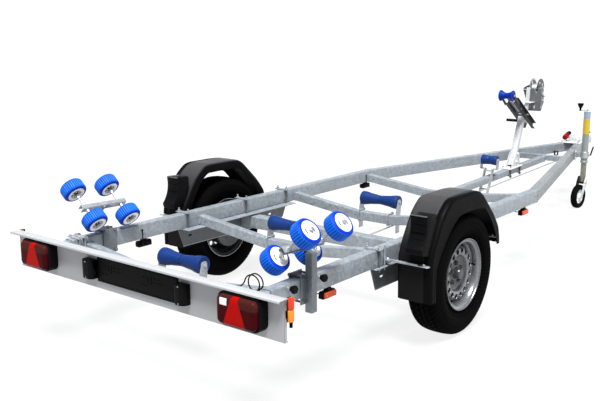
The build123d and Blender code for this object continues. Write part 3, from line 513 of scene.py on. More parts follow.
def galvanised(name, base=(0.56, 0.585, 0.61), metal=0.55, rough=(0.34, 0.56), spangle=70.0, streak=True):
    """Hot-dip zinc: interlocking spangle of slightly different greys, soft drips, fine grain."""
    m = Nodes(name)
    warp = m.noise(9.0, 2.0, 0.5, out="Color")
    vec = m.t.nodes.new("ShaderNodeVectorMath")
    vec.operation = "MULTIPLY_ADD"
    m.link(warp, vec.inputs[0])
    vec.inputs[1].default_value = (0.012, 0.012, 0.012)
    m.link(m.coord, vec.inputs[2])
    cell = m.voronoi(spangle, out="Color", vec=vec.outputs[0])
    cv = m.sep(cell)[0]
    edge = m.voronoi(spangle, feature="DISTANCE_TO_EDGE", vec=vec.outputs[0])
    cloud = m.noise(3.2, 4.0, 0.6)
    grain = m.noise(420.0, 2.0, 0.6)
    drip = m.noise(1.0, 3.0, 0.55, vec=m.map(scale=(26.0, 26.0, 2.4)))
    light = tuple(min(1.0, c * 1.32) for c in base)
    dark = tuple(c * 0.62 for c in base)
    c1 = m.mix(m.rng(cv, 0.15, 0.85), dark, light)
    c2 = m.mix(m.rng(cloud, 0.0, 0.75, 0.35, 0.7), c1, tuple(c * 0.82 for c in base))
    c3 = m.mix(m.rng(drip, 0.0, 0.35 if streak else 0.1, 0.48, 0.75), c2, tuple(min(1.0, c * 1.25) for c in base))
    r1 = m.math("ADD", m.rng(cv, rough[0], rough[1]), m.rng(cloud, -0.06, 0.08))
    m.set(color=c3, metal=metal, rough=r1, spec=0.5)
    m.bump((edge, 0.12, 0.0006), (cloud, 0.2, 0.0016), (grain, 0.1, 0.0003))
    return m.mat


def plastic(name, color, rough=0.42, grain=900.0, k=0.12, var=0.25, coat=0.0, spec=0.5, dust=0.0):
    """Moulded plastic or rubber: fine grain, cloudy sheen, slightly paler where handled."""
    m = Nodes(name)
    cloud = m.noise(7.0, 3.0, 0.6)
    fine = m.noise(grain, 2.0, 0.6)
    cell = m.voronoi(grain * 0.7)
    hi = tuple(min(1.0, c * (1 + var) + 0.001) for c in color)
    lo = tuple(c * (1 - var * 0.6) for c in color)
    c = m.mix(cloud, lo, hi)
    if dust > 0:
        c = m.mix(m.rng(m.noise(60.0, 5.0, 0.7), 0.0, dust, 0.55, 0.8), c, (0.45, 0.43, 0.4))
    m.set(color=c, rough=m.rng(cloud, rough - 0.06, rough + 0.1, 0.3, 0.7), spec=spec)
    if coat:
        m.set(coat=coat, coat_rough=0.15)
    m.bump((fine, k, 0.0004), (cell, k * 0.7, 0.0003))
    return m.mat


M_GALV = galvanised("zinc_frame", base=(0.30, 0.33, 0.36), metal=0.35, rough=(0.36, 0.56))
# darker copy of the frame zinc: painted shade on the right drawbar arm
M_GALV_ARM_SHADED = galvanised("zinc_arm_painted_shade", base=(0.235, 0.25, 0.262), metal=0.35, rough=(0.36, 0.56))
# dark copy of the frame zinc: painted shade on the hanger brackets' webs and the straps' threaded rods
M_GALV_SHADED = galvanised("zinc_painted_shade", base=(0.105, 0.115, 0.12), metal=0.35, rough=(0.36, 0.56), spangle=110.0)
M_GALV_POST = galvanised("zinc_post", base=(0.17, 0.19, 0.205), metal=0.35, rough=(0.36, 0.56))
M_GALV_FINE = galvanised("zinc_bright", base=(0.42, 0.44, 0.46), metal=0.5, rough=(0.26, 0.44), spangle=150.0)
M_BOARD = plastic("board_paint", (0.36, 0.365, 0.375), rough=0.5, grain=1200.0, k=0.03, var=0.04)
M_GUARD = plastic("guard_plastic", (0.003, 0.003, 0.0033), rough=0.42, grain=700.0, k=0.16, var=0.5, spec=0.05)
M_BLACK = plastic("black_moulding", (0.003, 0.003, 0.0033), rough=0.38, grain=1100.0, k=0.08, var=0.5, spec=0.05)
M_RUBBER = plastic("black_rubber", (0.002, 0.002, 0.0022), rough=0.6, grain=1400.0, k=0.15, var=0.5, spec=0.02)
M_BLUE = plastic("roller_blue", (0.002, 0.105, 0.60), rough=0.42, grain=1100.0, k=0.05, var=0.22, spec=0.16)
# near-black blue: painted shade at the bottoms of the rollers' tread grooves
M_BLUE_GROOVE_SHADE = plastic("roller_blue_groove_shade", (0.001, 0.010, 0.17), rough=0.5, grain=1100.0, k=0.05, var=0.22, spec=0.05)
# darker copy of the roller blue: painted shade on the rollers' rounded sides
M_BLUE_SIDE_SHADE = plastic("roller_blue_side_shade", (0.001, 0.028, 0.36), rough=0.45, grain=1100.0, k=0.05, var=0.22, spec=0.1)
M_KEEL = plastic("keel_blue", (0.005, 0.026, 0.13), rough=0.40, grain=1100.0, k=0.07, var=0.25, spec=0.2)
M_WHITE = plastic("hub_white", (0.80, 0.80, 0.79), rough=0.35, grain=1200.0, k=0.03, var=0.04)
M_RIM = galvanised("rim_silver", base=(0.20, 0.205, 0.215), metal=0.6, rough=(0.24, 0.34), spangle=420.0, streak=False)
# dark copy of the rim silver: painted shade in the hub well, on the grease cap and on the wheel nuts
M_RIM_WELL_SHADE = galvanised("rim_well_painted_shade", base=(0.085, 0.088, 0.092), metal=0.6, rough=(0.24, 0.34), spangle=420.0, streak=False)
# near-black: painted shade on the inboard half of the rim's barrel, the back of the disc and the hub drum
M_RIM_BACK_SHADE = plastic("rim_back_painted_shade", (0.022, 0.022, 0.024), rough=0.5, grain=700.0, k=0.1, var=0.5, spec=0.1)
M_DARK = plastic("dark_steel", (0.045, 0.045, 0.048), rough=0.45, grain=500.0, k=0.2, var=0.5, dust=0.3)
M_BLKSTEEL = plastic("black_steel", (0.028, 0.030, 0.032), rough=0.45, grain=800.0, k=0.1, var=0.4, spec=0.2)


M_TYRE = plastic("tyre_rubber", (0.002, 0.002, 0.0022), rough=0.66, grain=600.0, k=0.3, var=0.6, spec=0.01)
M_REDORANGE = plastic("marker_red", (0.62, 0.035, 0.006), rough=0.22, grain=300.0, k=0.2, var=0.25, spec=0.2, coat=0.1)
M_AMBER = plastic("marker_amber", (0.80, 0.23, 0.01), rough=0.22, grain=300.0, k=0.2, var=0.25, spec=0.2, coat=0.1)
M_AMBERRED = plastic("side_marker_lens", (0.55, 0.05, 0.006), rough=0.22, grain=300.0, k=0.2, var=0.3, spec=0.2, coat=0.1)
M_CLEAR = plastic("milky_lens", (0.62, 0.62, 0.60), rough=0.2, grain=300.0, k=0.2, var=0.1, coat=0.5)


def lens_material():
    """Rear lamp lens: bright red middle that widens downwards, dark red sides, a clear window near the top of the right lamp."""
    m = Nodes("lamp_lens")
    x, y, z = m.sep(m.coord)
    ax = m.math("ABSOLUTE", x, 0.0)
    dx = m.math("ABSOLUTE", m.math("SUBTRACT", ax, 0.698), 0.0)
    half = m.rng(z, 0.066, 0.015, 0.418, 0.555)
    mid = m.rng(m.math("SUBTRACT", dx, half), 1.0, 0.0, -0.0012, 0.0012)
    shade = m.noise(26.0, 2.0, 0.5)
    side = m.mix(shade, (0.022, 0.001, 0.002), (0.055, 0.002, 0.004))
    upper = m.mix(m.rng(z, 0.0, 0.8, 0.508, 0.514), side, (0.05, 0.012, 0.010))
    c = m.mix(mid, upper, (0.32, 0.003, 0.002))
    # clear window
    wx = m.math("ABSOLUTE", m.math("SUBTRACT", x, 0.6385), 0.0)
    wz = m.math("ABSOLUTE", m.math("SUBTRACT", z, 0.5265), 0.0)
    a = m.rng(wx, 1.0, 0.0, 0.0185, 0.0200)
    b = m.rng(wz, 1.0, 0.0, 0.0140, 0.0155)
    c = m.mix(m.math("MULTIPLY", a, b), c, (0.72, 0.70, 0.68))
    facets = m.voronoi(260.0)
    m.set(color=c, rough=0.22, spec=0.03, coat=0.0)
    m.bump((facets, 0.25, 0.0006), (m.noise(60.0, 1.0, 0.5), 0.12, 0.0008))
    return m.mat


M_LENS = lens_material()
M_BOWBLUE = plastic("bow_blue", (0.001, 0.022, 0.24), rough=0.36, grain=1100.0, k=0.05, var=0.25, spec=0.08)
M_WINCH = galvanised("zinc_winch", base=(0.17, 0.185, 0.19), metal=0.45, rough=(0.34, 0.5), spangle=190.0, streak=False)
M_JGREY = plastic("jockey_grey", (0.20, 0.22, 0.215), rough=0.34, grain=1100.0, k=0.05, var=0.08, coat=0.2)
M_JBLUE = plastic("jockey_blue", (0.22, 0.30, 0.38), rough=0.30, grain=1100.0, k=0.05, var=0.12, coat=0.3)
M_YELLOW = plastic("band_yellow", (0.50, 0.35, 0.014), rough=0.38, grain=1200.0, k=0.03, var=0.05)
M_RED = plastic("grip_red", (0.19, 0.002, 0.008), rough=0.36, grain=900.0, k=0.08, var=0.25, spec=0.08)
M_LEGSILVER = plastic("fork_silver", (0.52, 0.53, 0.52), rough=0.35, grain=900.0, k=0.08, var=0.10)
M_TUBEDARK = galvanised("zinc_inner_tube", base=(0.22, 0.225, 0.18), metal=0.6, rough=(0.28, 0.42), spangle=190.0)
# lighter, nearly non-metal copy of the zinc: painted light of the strong top light, on the winch post, the drum and the
# coupling
M_ZINC_PAINTED_LIGHT = galvanised("zinc_painted_light", base=(0.60, 0.605, 0.61), metal=0.05, rough=(0.38, 0.55), spangle=110.0)
M_GREYLIP = plastic("chock_lip", (0.10, 0.102, 0.105), rough=0.45, grain=900.0, k=0.2, var=0.2)


def guard_sheen_material():
    """Black moulded mudguard with a painted grey sheen of the top light on its rolled crown, fading lower down; the
    skirts and the slopes stay black.
    """
    n = Nodes("guard_moulding_painted_sheen")
    x, y, z = n.sep(n.coord)
    ax = n.math("ABSOLUTE", x, 0.0)
    a = n.rng(ax, 1.0, 0.0, 0.925, 0.931)
    c = n.rng(ax, 0.0, 1.0, 0.776, 0.792)
    up = n.rng(z, 0.12, 1.0, 0.54, 0.775)
    cloud = n.noise(7.0, 3.0, 0.6)
    fine = n.noise(700.0, 2.0, 0.6)
    # painted sheen: the crown between the edges is mixed towards grey, more so higher up
    grey = n.mix(cloud, (0.040, 0.039, 0.041), (0.068, 0.066, 0.069))
    n.set(color=n.mix(n.math("MULTIPLY", n.math("MULTIPLY", a, c), up), (0.003, 0.003, 0.0033), grey), rough=n.rng(cloud, 0.36, 0.5, 0.3, 0.7), spec=0.025)
    n.bump((fine, 0.16, 0.0004), (n.voronoi(490.0), 0.11, 0.0003))
    return n.mat


M_GUARD_SHEEN = guard_sheen_material()

# ---------------------------------------------------------------------------------------------
# more shapes
# ---------------------------------------------------------------------------------------------


def rrect(a0, a1, b0, b1, r, n=4):
    """Rounded rectangle outline."""
    out = []
    for ca, cb, q in ((a1 - r, b1 - r, 0), (a0 + r, b1 - r, 1), (a0 + r, b0 + r, 2), (a1 - r, b0 + r, 3)):
        for k in range(n + 1):
            t = math.pi / 2 * (q + k / n)
            out.append((ca + r * math.cos(t), cb + r * math.sin(t)))
    return out


def skin(rings, cap0=False, cap1=False, closed=True):
    n = len(rings[0])
    v = [tuple(p) for r in rings for p in r]
    f = []
    for i in range(len(rings) - 1):
        for k in range(n if closed else n - 1):
            j = (k + 1) % n
            f.append((i * n + k, i * n + j, (i + 1) * n + j, (i + 1) * n + k))
    if cap0:
        f.append(tuple(range(n))[::-1])
    if cap1:
        f.append(tuple((len(rings) - 1) * n + k for k in range(n)))
    return np.array(v, float), f


def hollow(so, si, stations, place):
    """Open-ended tube: outer outline so, inner outline si, both placed at each station."""
    rings = [[place(s, p) for p in so] for s in stations] + [[place(s, p) for p in si] for s in reversed(stations)]
    rings.append(rings[0])
    return skin(rings)


def bar(a, b, wx, wy, r=2.0, wall=0.0, hint=(1, 0, 0), n=3, ends=True):
    """Straight bar or square tube from a to b; wx is its width along hint."""
    M = frame_of(a, Vector(b) - Vector(a), hint)
    L = (Vector(b) - Vector(a)).length
    so = rrect(-wx / 2, wx / 2, -wy / 2, wy / 2, r, n)

    def place(s, q):
        return M @ Vector((q[0], q[1], s))
    if wall:
        si = rrect(-wx / 2 + wall, wx / 2 - wall, -wy / 2 + wall, wy / 2 - wall, max(0.5, r - wall), n)
        return hollow(so, si, [0.0, L], place)
    c = min(0.8, r * 0.5)
    sm = rrect(-wx / 2 + c, wx / 2 - c, -wy / 2 + c, wy / 2 - c, max(0.3, r - c), n)
    return skin([[place(0, q) for q in sm], [place(c, q) for q in so], [place(L - c, q) for q in so], [place(L, q) for q in sm]], True, True)


def bead(points, r=2.6, seed=1):
    """Weld bead: a rippled tube along points."""
    P = [Vector(q) for q in points]
    out, d = [P[0]], 0.0
    for a, b in zip(P[:-1], P[1:]):
        n = max(1, int((b - a).length / 2.4))
        for k in range(1, n + 1):
            out.append(a.lerp(b, k / n))
    rng = random.Random(seed)
    rad = [r * (1.0 + 0.16 * (i % 2) + rng.uniform(-0.08, 0.08)) for i in range(len(out))]
    return tube(out, rad, 8)


def to_object(shape, name):
    me = bpy.data.meshes.new(name)
    me.from_pydata(np.asarray(shape[0]).tolist(), [], [tuple(t) for t in shape[1]])
    me.validate()
    bm = bmesh.new()
    bm.from_mesh(me)
    bmesh.ops.remove_doubles(bm, verts=list(bm.verts), dist=1e-4)
    bmesh.ops.recalc_face_normals(bm, faces=list(bm.faces))
    bm.to_mesh(me)
    bm.free()
    ob = bpy.data.objects.new(name, me)
    scene.collection.objects.link(ob)
    return ob


def join(shapes):
    v, f, n = [], [], 0
    for a, b in shapes:
        v.append(np.asarray(a, float).reshape(-1, 3))
        f += [tuple(i + n for i in t) for t in b]
        n += len(v[-1])
    return np.vstack(v), f


def cut(shape, cutters):
    """shape with the cutters' volumes taken out of it."""
    a, b = to_object(shape, "cut_a"), to_object(join(cutters), "cut_b")
    m = a.modifiers.new("cut", "BOOLEAN")
    m.operation, m.object, m.solver = "DIFFERENCE", b, "EXACT"
    m.use_self = True
    dg = bpy.context.evaluated_depsgraph_get()
    dg.update()
    me = a.evaluated_get(dg).to_mesh()
    v = np.array([tuple(q.co) for q in me.vertices], float)
    f = [tuple(t.vertices) for t in me.polygons]
    a.evaluated_get(dg).to_mesh_clear()
    for ob in (a, b):
        d = ob.data
        bpy.data.objects.remove(ob)
        bpy.data.meshes.remove(d)
    return v, f


def mirror_shape(shape):
    v, f = shape
    return np.asarray(v, float) * np.array([-1.0, 1.0, 1.0]), [t[::-1] for t in f]


# ---------------------------------------------------------------------------------------------
# frame: rails, drawbar arms, crossmembers, spine
# ---------------------------------------------------------------------------------------------
RAIL_OUT, RAIL_W, RZ0, RZ1 = 715.0, 60.0, 420.0, 510.0
RAIL_Y0, KINK_Y, TIP_Y, TIP_OUT = -1270.0, 1600.0, 4300.0, 70.0
XI = RAIL_OUT - RAIL_W
SLOPE = (RAIL_OUT - TIP_OUT) / (TIP_Y - KINK_Y)
ALEN = math.hypot(1.0, SLOPE)


def arm_x(y, inset=0.0):
    return RAIL_OUT - inset * ALEN - SLOPE * (y - KINK_Y)


def kink_at(inset):
    return KINK_Y - (inset * ALEN - inset) / SLOPE


SO = rrect(XI, RAIL_OUT, RZ0, RZ1, 7.0, 5)
SI = rrect(XI + 4, RAIL_OUT - 4, RZ0 + 4, RZ1 - 4, 3.5, 5)


def rail_place(s, q):
    y = kink_at(RAIL_OUT - q[0]) - 0.6 if s > 1e8 else s
    return (q[0], y, q[1])


def arm_place(s, q):
    i = RAIL_OUT - q[0]
    if s < -1e8:
        y = kink_at(i) + 0.6
        return (q[0] - SLOPE * 0.6, y, q[1])
    return (arm_x(s, i), s, q[1])


rail = Build()
rail.add(hollow(SO, SI, [RAIL_Y0, -700.0, 0.0, 800.0, 1e9], rail_place))
# rubber plugs in unused holes and the hole rims of the bracket bolts
for y in (-1232.0, -1222.0):
    rail.add(lathe([(0, 3.2), (0, 5.2), (0.5, 5.2), (0.5, 3.2)], (RAIL_OUT, y, 465), (1, 0, 0), 16, loop=True))
rail.make("rail_right_tube", [M_GALV], "root", ("rail_right",), "galvanised_steel")
rail.flipped().make("rail_left_tube", [M_GALV], "root", ("rail_left",), "galvanised_steel")

arm = Build()
arm.add(hollow(SO, SI, [-1e9, 2300.0, 3200.0, TIP_Y], arm_place))
seam = [(q[0], kink_at(RAIL_OUT - q[0]), q[1]) for q in rrect(XI - 0.3, RAIL_OUT + 0.3, RZ0 - 0.3, RZ1 + 0.3, 7.2, 5)]
arm.add(bead(seam + seam[:1], 2.0, 5))
# short slot at the joint on the outer face
arm.add(rbox(RAIL_OUT - 0.6, RAIL_OUT + 0.4, KINK_Y - 60, KINK_Y + 10, 466, 469, 0.3, 1), 1)
# the right arm takes the darker zinc copy as painted shade; the left arm keeps the frame zinc
armr = arm.make("drawbar_right_tube", [M_GALV_ARM_SHADED, M_DARK], "root", ("drawbar_right",), "galvanised_steel")
arm2 = Build()
arm2.v, arm2.f, arm2.m, arm2.n = list(arm.v), list(arm.f), list(arm.m), arm.n
arm2.flipped().make("drawbar_left_tube", [M_GALV, M_DARK], "root", ("drawbar_left",), "galvanised_steel")

CM_FLAT, CM_Z_RAIL, CM_Z_MID = 138.0, 419.0, 357.0
CS = (CM_Z_RAIL - CM_Z_MID) / (XI - CM_FLAT)
CMX = [(-XI, CM_Z_RAIL), (-CM_FLAT - 14, CM_Z_MID + CS * 14), (-CM_FLAT, CM_Z_MID + CS * 2.5), (-CM_FLAT + 14, CM_Z_MID),
       (CM_FLAT - 14, CM_Z_MID), (CM_FLAT, CM_Z_MID + CS * 2.5), (CM_FLAT + 14, CM_Z_MID + CS * 14), (XI, CM_Z_RAIL)]


def vee_tube(y0):
    so = rrect(y0, y0 + 50, 0, 60, 6.0, 5)
    si = rrect(y0 + 3, y0 + 47, 3, 57, 3.0, 5)
    return hollow(so, si, CMX, lambda s, q: (s[0], q[0], s[1] + q[1]))


def strap(b, y, x, mat=0, leg=None):
    """Flat bridging plate over a rail at y with bolts down both sides of it."""
    b.add(rbox(XI - 21, RAIL_OUT + 21, y - 17, y + 17, RZ1 + 0.3, RZ1 + 6.3, 1.2, 2), mat)
    for xx in (XI - 8.5, RAIL_OUT + 8.5):
        b.add(cyl((xx, y, 400), (xx, y, RZ1 + 8), 5.0, 14), mat if leg is None else leg)
        bolt(b, (xx, y, RZ1 + 6.3), (0, 0, 1), 10.0, 12.0, mat, spin=0.4)
        bolt(b, (xx, y, 414.3), (0, 0, -1), 10.0, 9.0, mat, spin=1.1)


for node, y0 in (("crossmember_rear", -1190.0), ("crossmember_axle", -335.0), ("crossmember_middle", 608.0), ("crossmember_front", 1542.0)):
    cm = Build()
    cm.add(vee_tube(y0))
    for s in (-1, 1):
        x = s * XI
        rim = [(x - s * 0.5, q[0], CM_Z_RAIL + q[1]) for q in rrect(y0 - 0.5, y0 + 50.5, -0.5, 60.5, 6.5, 4)]
        cm.add(bead(rim + rim[:1], 2.6, int(y0) + s))
        # angle cleat at the rail, and a small drain hole rim
        cm.add(rbox(x - s * 3, x - s * 1, y0 - 14, y0 + 64, CM_Z_RAIL + 6, CM_Z_RAIL + 54, 0.8, 1))
        cm.add(lathe([(0, 3.0), (0, 5.4), (0.7, 5.4), (0.7, 3.0)], (x - s * 46, y0, CM_Z_RAIL + 24), (0, -1, 0), 16, loop=True), 1)
        # U-bolts that hold the roller bracket, round the flat middle
        ux = s * 112.0
        if y0 < 1000:
            ubolt(cm, (ux, y0 + 56.3, CM_Z_MID + 30), (0, 0, 1), (1, 0, 0), (0, -1, 0), 36.0, 63.0, 5.0, 14.0, 0)
    cm.make(node + "_vee", [M_GALV, M_DARK], "root", (node,), "galvanised_steel")

NY0, NY1, NZ0, NZ1 = 3445.0, 3495.0, 424.0, 474.0
nose = Build()
so = rrect(NY0, NY1, NZ0, NZ1, 6.0, 4)
si = rrect(NY0 + 3, NY1 - 3, NZ0 + 3, NZ1 - 3, 3.0, 4)
nose.add(hollow(so, si, [-1, 1], lambda s, q: (s * arm_x(q[0], RAIL_W), q[0], q[1])))
for s in (-1, 1):
    rim = [(s * (arm_x(q[0], RAIL_W) - 0.5), q[0], q[1]) for q in rrect(NY0 - 0.5, NY1 + 0.5, NZ0 - 0.5, NZ1 + 0.5, 6.5, 4)]
    nose.add(bead(rim + rim[:1], 2.4, 7 + s))
nose.make("crossmember_nose_tube", [M_GALV], "root", ("crossmember_nose",), "galvanised_steel")

SY0, SY1 = 1592.0, NY0


def spine_z(y):
    return 358.0 + 54.0 * (y - SY0) / (SY1 - SY0)


SPINE_H = 50.0
spine = Build()
so = rrect(-30, 30, 0, 50, 6.0, 4)
si = rrect(-27, 27, 3, 47, 3.0, 4)
spine.add(hollow(so, si, [SY0 + 0.4, 2300.0, SY1 - 0.4], lambda s, q: (q[0], s, spine_z(s) + q[1])))
for y, k in ((SY0 + 1.5, 11), (SY1 - 1.5, 12)):
    rim = [(q[0], y, spine_z(y) + q[1]) for q in rrect(-30.5, 30.5, -0.5, 50.5, 6.5, 4)]
    spine.add(bead(rim + rim[:1], 2.4, k))
spine.make("centre_spine_tube", [M_GALV], "root", ("centre_spine",), "galvanised_steel")

# ---------------------------------------------------------------------------------------------
# axle, brackets
# ---------------------------------------------------------------------------------------------
AY, AZ_, AH = 130.0, 365.0, 742.0
WX, WY_, WZ_ = 870.0, 48.0, 311.0
axle = Build()
so = rrect(AY - 40, AY + 40, AZ_ - 40, AZ_ + 40, 8.0, 5)
axle.add(hollow(so, rrect(AY - 34, AY + 34, AZ_ - 34, AZ_ + 34, 4.0, 5), [-AH, -300, 300, AH], lambda s, q: (s, q[0], q[1])))
for s in (-1, 1):
    # rubber rods round the inner square core at each end
    axle.add(rbox(s * (AH - 30), s * (AH - 2), AY - 22, AY + 22, AZ_ - 22, AZ_ + 22, 3, 2, None), 0)
    for cy, cz in ((-26, -26), (26, -26), (-26, 26), (26, 26)):
        axle.add(cyl((s * (AH - 40), AY + cy, AZ_ + cz), (s * (AH - 3), AY + cy, AZ_ + cz), 7.8, 16), 1)
    for x in (s * 360.0, s * 560.0):
        ring_ = [(x, q[0], q[1]) for q in rrect(AY - 40.2, AY + 40.2, AZ_ - 40.2, AZ_ + 40.2, 8.2, 4)]
        if abs(x) > 500:
            axle.add(bead(ring_ + ring_[:1], 1.6, int(x)))
axle.make("axle_beam_tube", [M_GALV, M_RUBBER], "root", ("axle_beam",), "galvanised_steel")

arms = Build()
ang = math.atan2(AZ_ - WZ_, AY - WY_)
tl = math.hypot(AZ_ - WZ_, AY - WY_)


def arm_outline(r0, r1, n=14):
    out = []
    for k in range(n + 1):
        t = math.pi / 2 + math.pi * k / n
        out.append((r0 * math.cos(t), r0 * math.sin(t)))
    for k in range(n + 1):
        t = -math.pi / 2 + math.pi * k / n
        out.append((tl + r1 * math.cos(t), r1 * math.sin(t)))
    return [(WY_ + a * math.cos(ang) - b * math.sin(ang), WZ_ + a * math.sin(ang) + b * math.cos(ang)) for a, b in out]


arms.add(prism(arm_outline(27, 32), "x", AH + 0.3, AH + 18, 2.5, 2, "rims"))
arms.add(cyl((AH + 6, WY_, WZ_), (WX + 19, WY_, WZ_), 16, 32))
arms.add(lathe([(0, 0), (0, 30), (4, 34), (16, 34), (17, 0)], (AH + 16, WY_, WZ_), (1, 0, 0), 40))
# brake backplate: pressed dish with stiffening ring, adjuster plug and rivets
bp_x = AH + 18
arms.add(lathe([(0, 30), (0, 52), (3, 58), (3, 84), (0, 90), (0, 108), (-2, 114), (-2, 119), (3, 122), (12, 122), (12, 117), (6, 113), (6, 90), (8, 84), (8, 58), (5, 52), (5, 30)],
               (bp_x + 1, WY_, WZ_), (1, 0, 0), 72, loop=True), 1)
for k in range(8):
    t = k * math.pi / 4 + 0.3
    arms.add(lathe([(0, 0), (-2.0, 2.6), (0.4, 4.4), (2, 4.4), (2, 0)], (bp_x + 0.6, WY_ + 71 * math.cos(t), WZ_ + 71 * math.sin(t)), (1, 0, 0), 12), 1)
for t in (0.9, 2.2):
    arms.add(cyl((bp_x - 4, WY_ + 99 * math.cos(t), WZ_ + 99 * math.sin(t)), (bp_x + 3, WY_ + 99 * math.cos(t), WZ_ + 99 * math.sin(t)), 6.5, 20), 2)
# cable entry of the brake
arms.add(cyl((bp_x - 10, WY_ + 60, WZ_ - 74), (bp_x + 4, WY_ + 52, WZ_ - 66), 7, 18), 2)
for t in (0.2, 1.77, 3.34, 4.91):
    bolt(arms, (bp_x + 1, WY_ + 44 * math.cos(t), WZ_ + 44 * math.sin(t)), (-1, 0, 0), 9.0, 2.0, 0)
arms.mirrored()
arms.make("axle_arm_forgings", [M_GALV_FINE, M_DARK, M_RUBBER], "root", ("axle_arms",), "galvanised_steel")

BR = [(-480, 419.0), (-476, 400), (-435, 295), (477, 290), (520, 317), (553, 389), (553, 419.0)]
brk = Build()
web = prism(BR, "x", 695, 700, 1.2, 1, "rims")
window = rbox(680, 720, AY - 40.5, AY + 40.5, AZ_ - 40.5, AZ_ + 40.5, 1.0, 1)
slots = [window]
for y in (-380.0, -60.0, 380.0):
    slots.append(prism(rrect(y - 16, y + 16, 351, 363, 5.9, 4), "x", 680, 720))
# painted shade: the web takes the dark zinc copy
brk.add(cut(web, slots), 1)
shelf = rbox(600, 735, -480, 553, 414.5, 419.5, 1.2, 1)
brk.add(cut(shelf, [rbox(580, XI + 1, -338, -282, 400, 430, 0)]))
brk.add(bead([(701, y, 413.2) for y in np.linspace(-470, 545, 60)], 2.6, 3))
win = [(701.5, q[0], q[1]) for q in rrect(AY - 41, AY + 41, AZ_ - 41, AZ_ + 41, 6, 4)]
brk.add(bead(win + win[:1], 2.8, 4))
# painted shade: the straps' threaded rods take the dark zinc copy
for y in (-440.0, 86.0, 500.0):
    strap(brk, y, 0, 0, 1)
brk.mirrored()
# the right side carries one more threaded rod
brk.add(cyl((RAIL_OUT + 9, -392, 400), (RAIL_OUT + 9, -392, RZ1 + 20), 4.5, 12))
# light folded edge along the bottom of the web
for y0, z0, y1, z1 in ((-435, 295, 477, 290),):
    brk.add(prism([(y0, z0), (y1, z1), (y1 - 2, z1 + 5.0), (y0 - 2, z0 + 5.0)], "x", 694.4, 700.6, 0.6, 1, "rims"), 0)
    brk.add(prism([(y0, z0), (y1, z1), (y1 - 2, z1 + 5.0), (y0 - 2, z0 + 5.0)], "x", -700.6, -694.4, 0.6, 1, "rims"), 0)
brk.make("axle_hanger_brackets", [M_GALV, M_GALV_SHADED], "root", ("axle_brackets",), "galvanised_steel")

# ---------------------------------------------------------------------------------------------
# wheels
# ---------------------------------------------------------------------------------------------
TR = 333.0


def tyre_shape():
    """Tread with four grooves and lateral sipes, shoulder blocks, sidewall rings, beads."""
    prof = [(-62, 178.5), (-66, 186), (-71, 198), (-74, 204), (-79, 210), (-86, 222), (-92, 238), (-95.5, 252), (-97, 264), (-96.6, 277), (-94.5, 290),
            (-91, 301), (-86.5, 311), (-81, 318.5), (-74, 324), (-70, 326)]
    tread = [-66, -62, -58, -53, -51.5, -50, -45, -43.5, -42, -36, -30, -24, -20.5, -19, -17.5, -12.5, -11, -9.5, -5, 0]
    tread = tread + [-x for x in reversed(tread[:-1])]
    N = 720

    def crown(x):
        return TR - 6.5 * (abs(x) / 70.0) ** 2.6
    grooves = [(-47.5, 3.6), (-15, 3.6), (15, 3.6), (47.5, 3.6)]
    th = np.linspace(0, 2 * math.pi, N, endpoint=False)
    rings = []
    for x, r in prof:
        rr = np.full(N, float(r))
        if -87 < x < -69:
            rr = rr - 2.4 * (np.mod(np.arange(N), 10) < 3) * min(1.0, (r - 300) / 20.0)
        if x < -91 and 240 < r < 290:
            rr = rr + 0.25 * np.sin(th * 90)
        rings.append((np.full(N, float(x)), rr))
    for x in tread:
        r = crown(x)
        depth = 0.0
        for g, w in grooves:
            if abs(x - g) < w:
                depth = 7.0
        rr = np.full(N, r - depth)
        if depth == 0.0:
            ph = np.mod(np.arange(N) + int(abs(x) * 0.22) * (1 if x > 0 else -1) + 3 * int((x + 70) // 32.5), 12)
            band = abs(x) > 52 or (19 < abs(x) < 44)
            rr = rr - np.where(ph < (3 if abs(x) > 52 else 2), 5.0 if band else 2.2, 0.0)
        rings.append((np.full(N, float(x)), rr))
    for x, r in reversed(prof):
        rr = np.full(N, float(r))
        if 69 < -x < 87:
            rr = rr - 2.4 * (np.mod(np.arange(N) + 5, 10) < 3) * min(1.0, (r - 300) / 20.0)
        rings.append((np.full(N, -float(x)), rr))
    for x, r in ((52, 184), (70, 240), (74, 296), (56, 312), (-56, 312), (-74, 296), (-70, 240), (-52, 184)):
        rings.append((np.full(N, float(x)), np.full(N, float(r))))
    rings.append(rings[0])
    out = []
    for x, r in rings:
        out.append(np.stack([WX + x, WY_ + r * np.cos(th), WZ_ + r * np.sin(th)], 1))
    return skin(out)


tyre_s = tyre_shape()
ribs = Build()
ribs.add(tyre_s)
# raised plain rings on both sidewalls
for r, w in ((212, 1.6), (224, 1.0), (284, 1.4)):
    x = {212: -80.5, 224: -87.2, 284: -95.8}[r]
    for s in (-1, 1):
        ribs.add(lathe([(0, r - w), (1.2 * s, r - w * 0.5), (1.2 * s, r + w * 0.5), (0, r + w), (-2 * s, r)], (WX - s * x, WY_, WZ_), (1, 0, 0), 180, loop=True))
ribs.make("tyre_right_body", [M_TYRE], "wheel_right", ("tyre_right",), "tyre")
ribs.flipped().make("tyre_left_body", [M_TYRE], "wheel_left", ("tyre_left",), "tyre")

rim = Build()
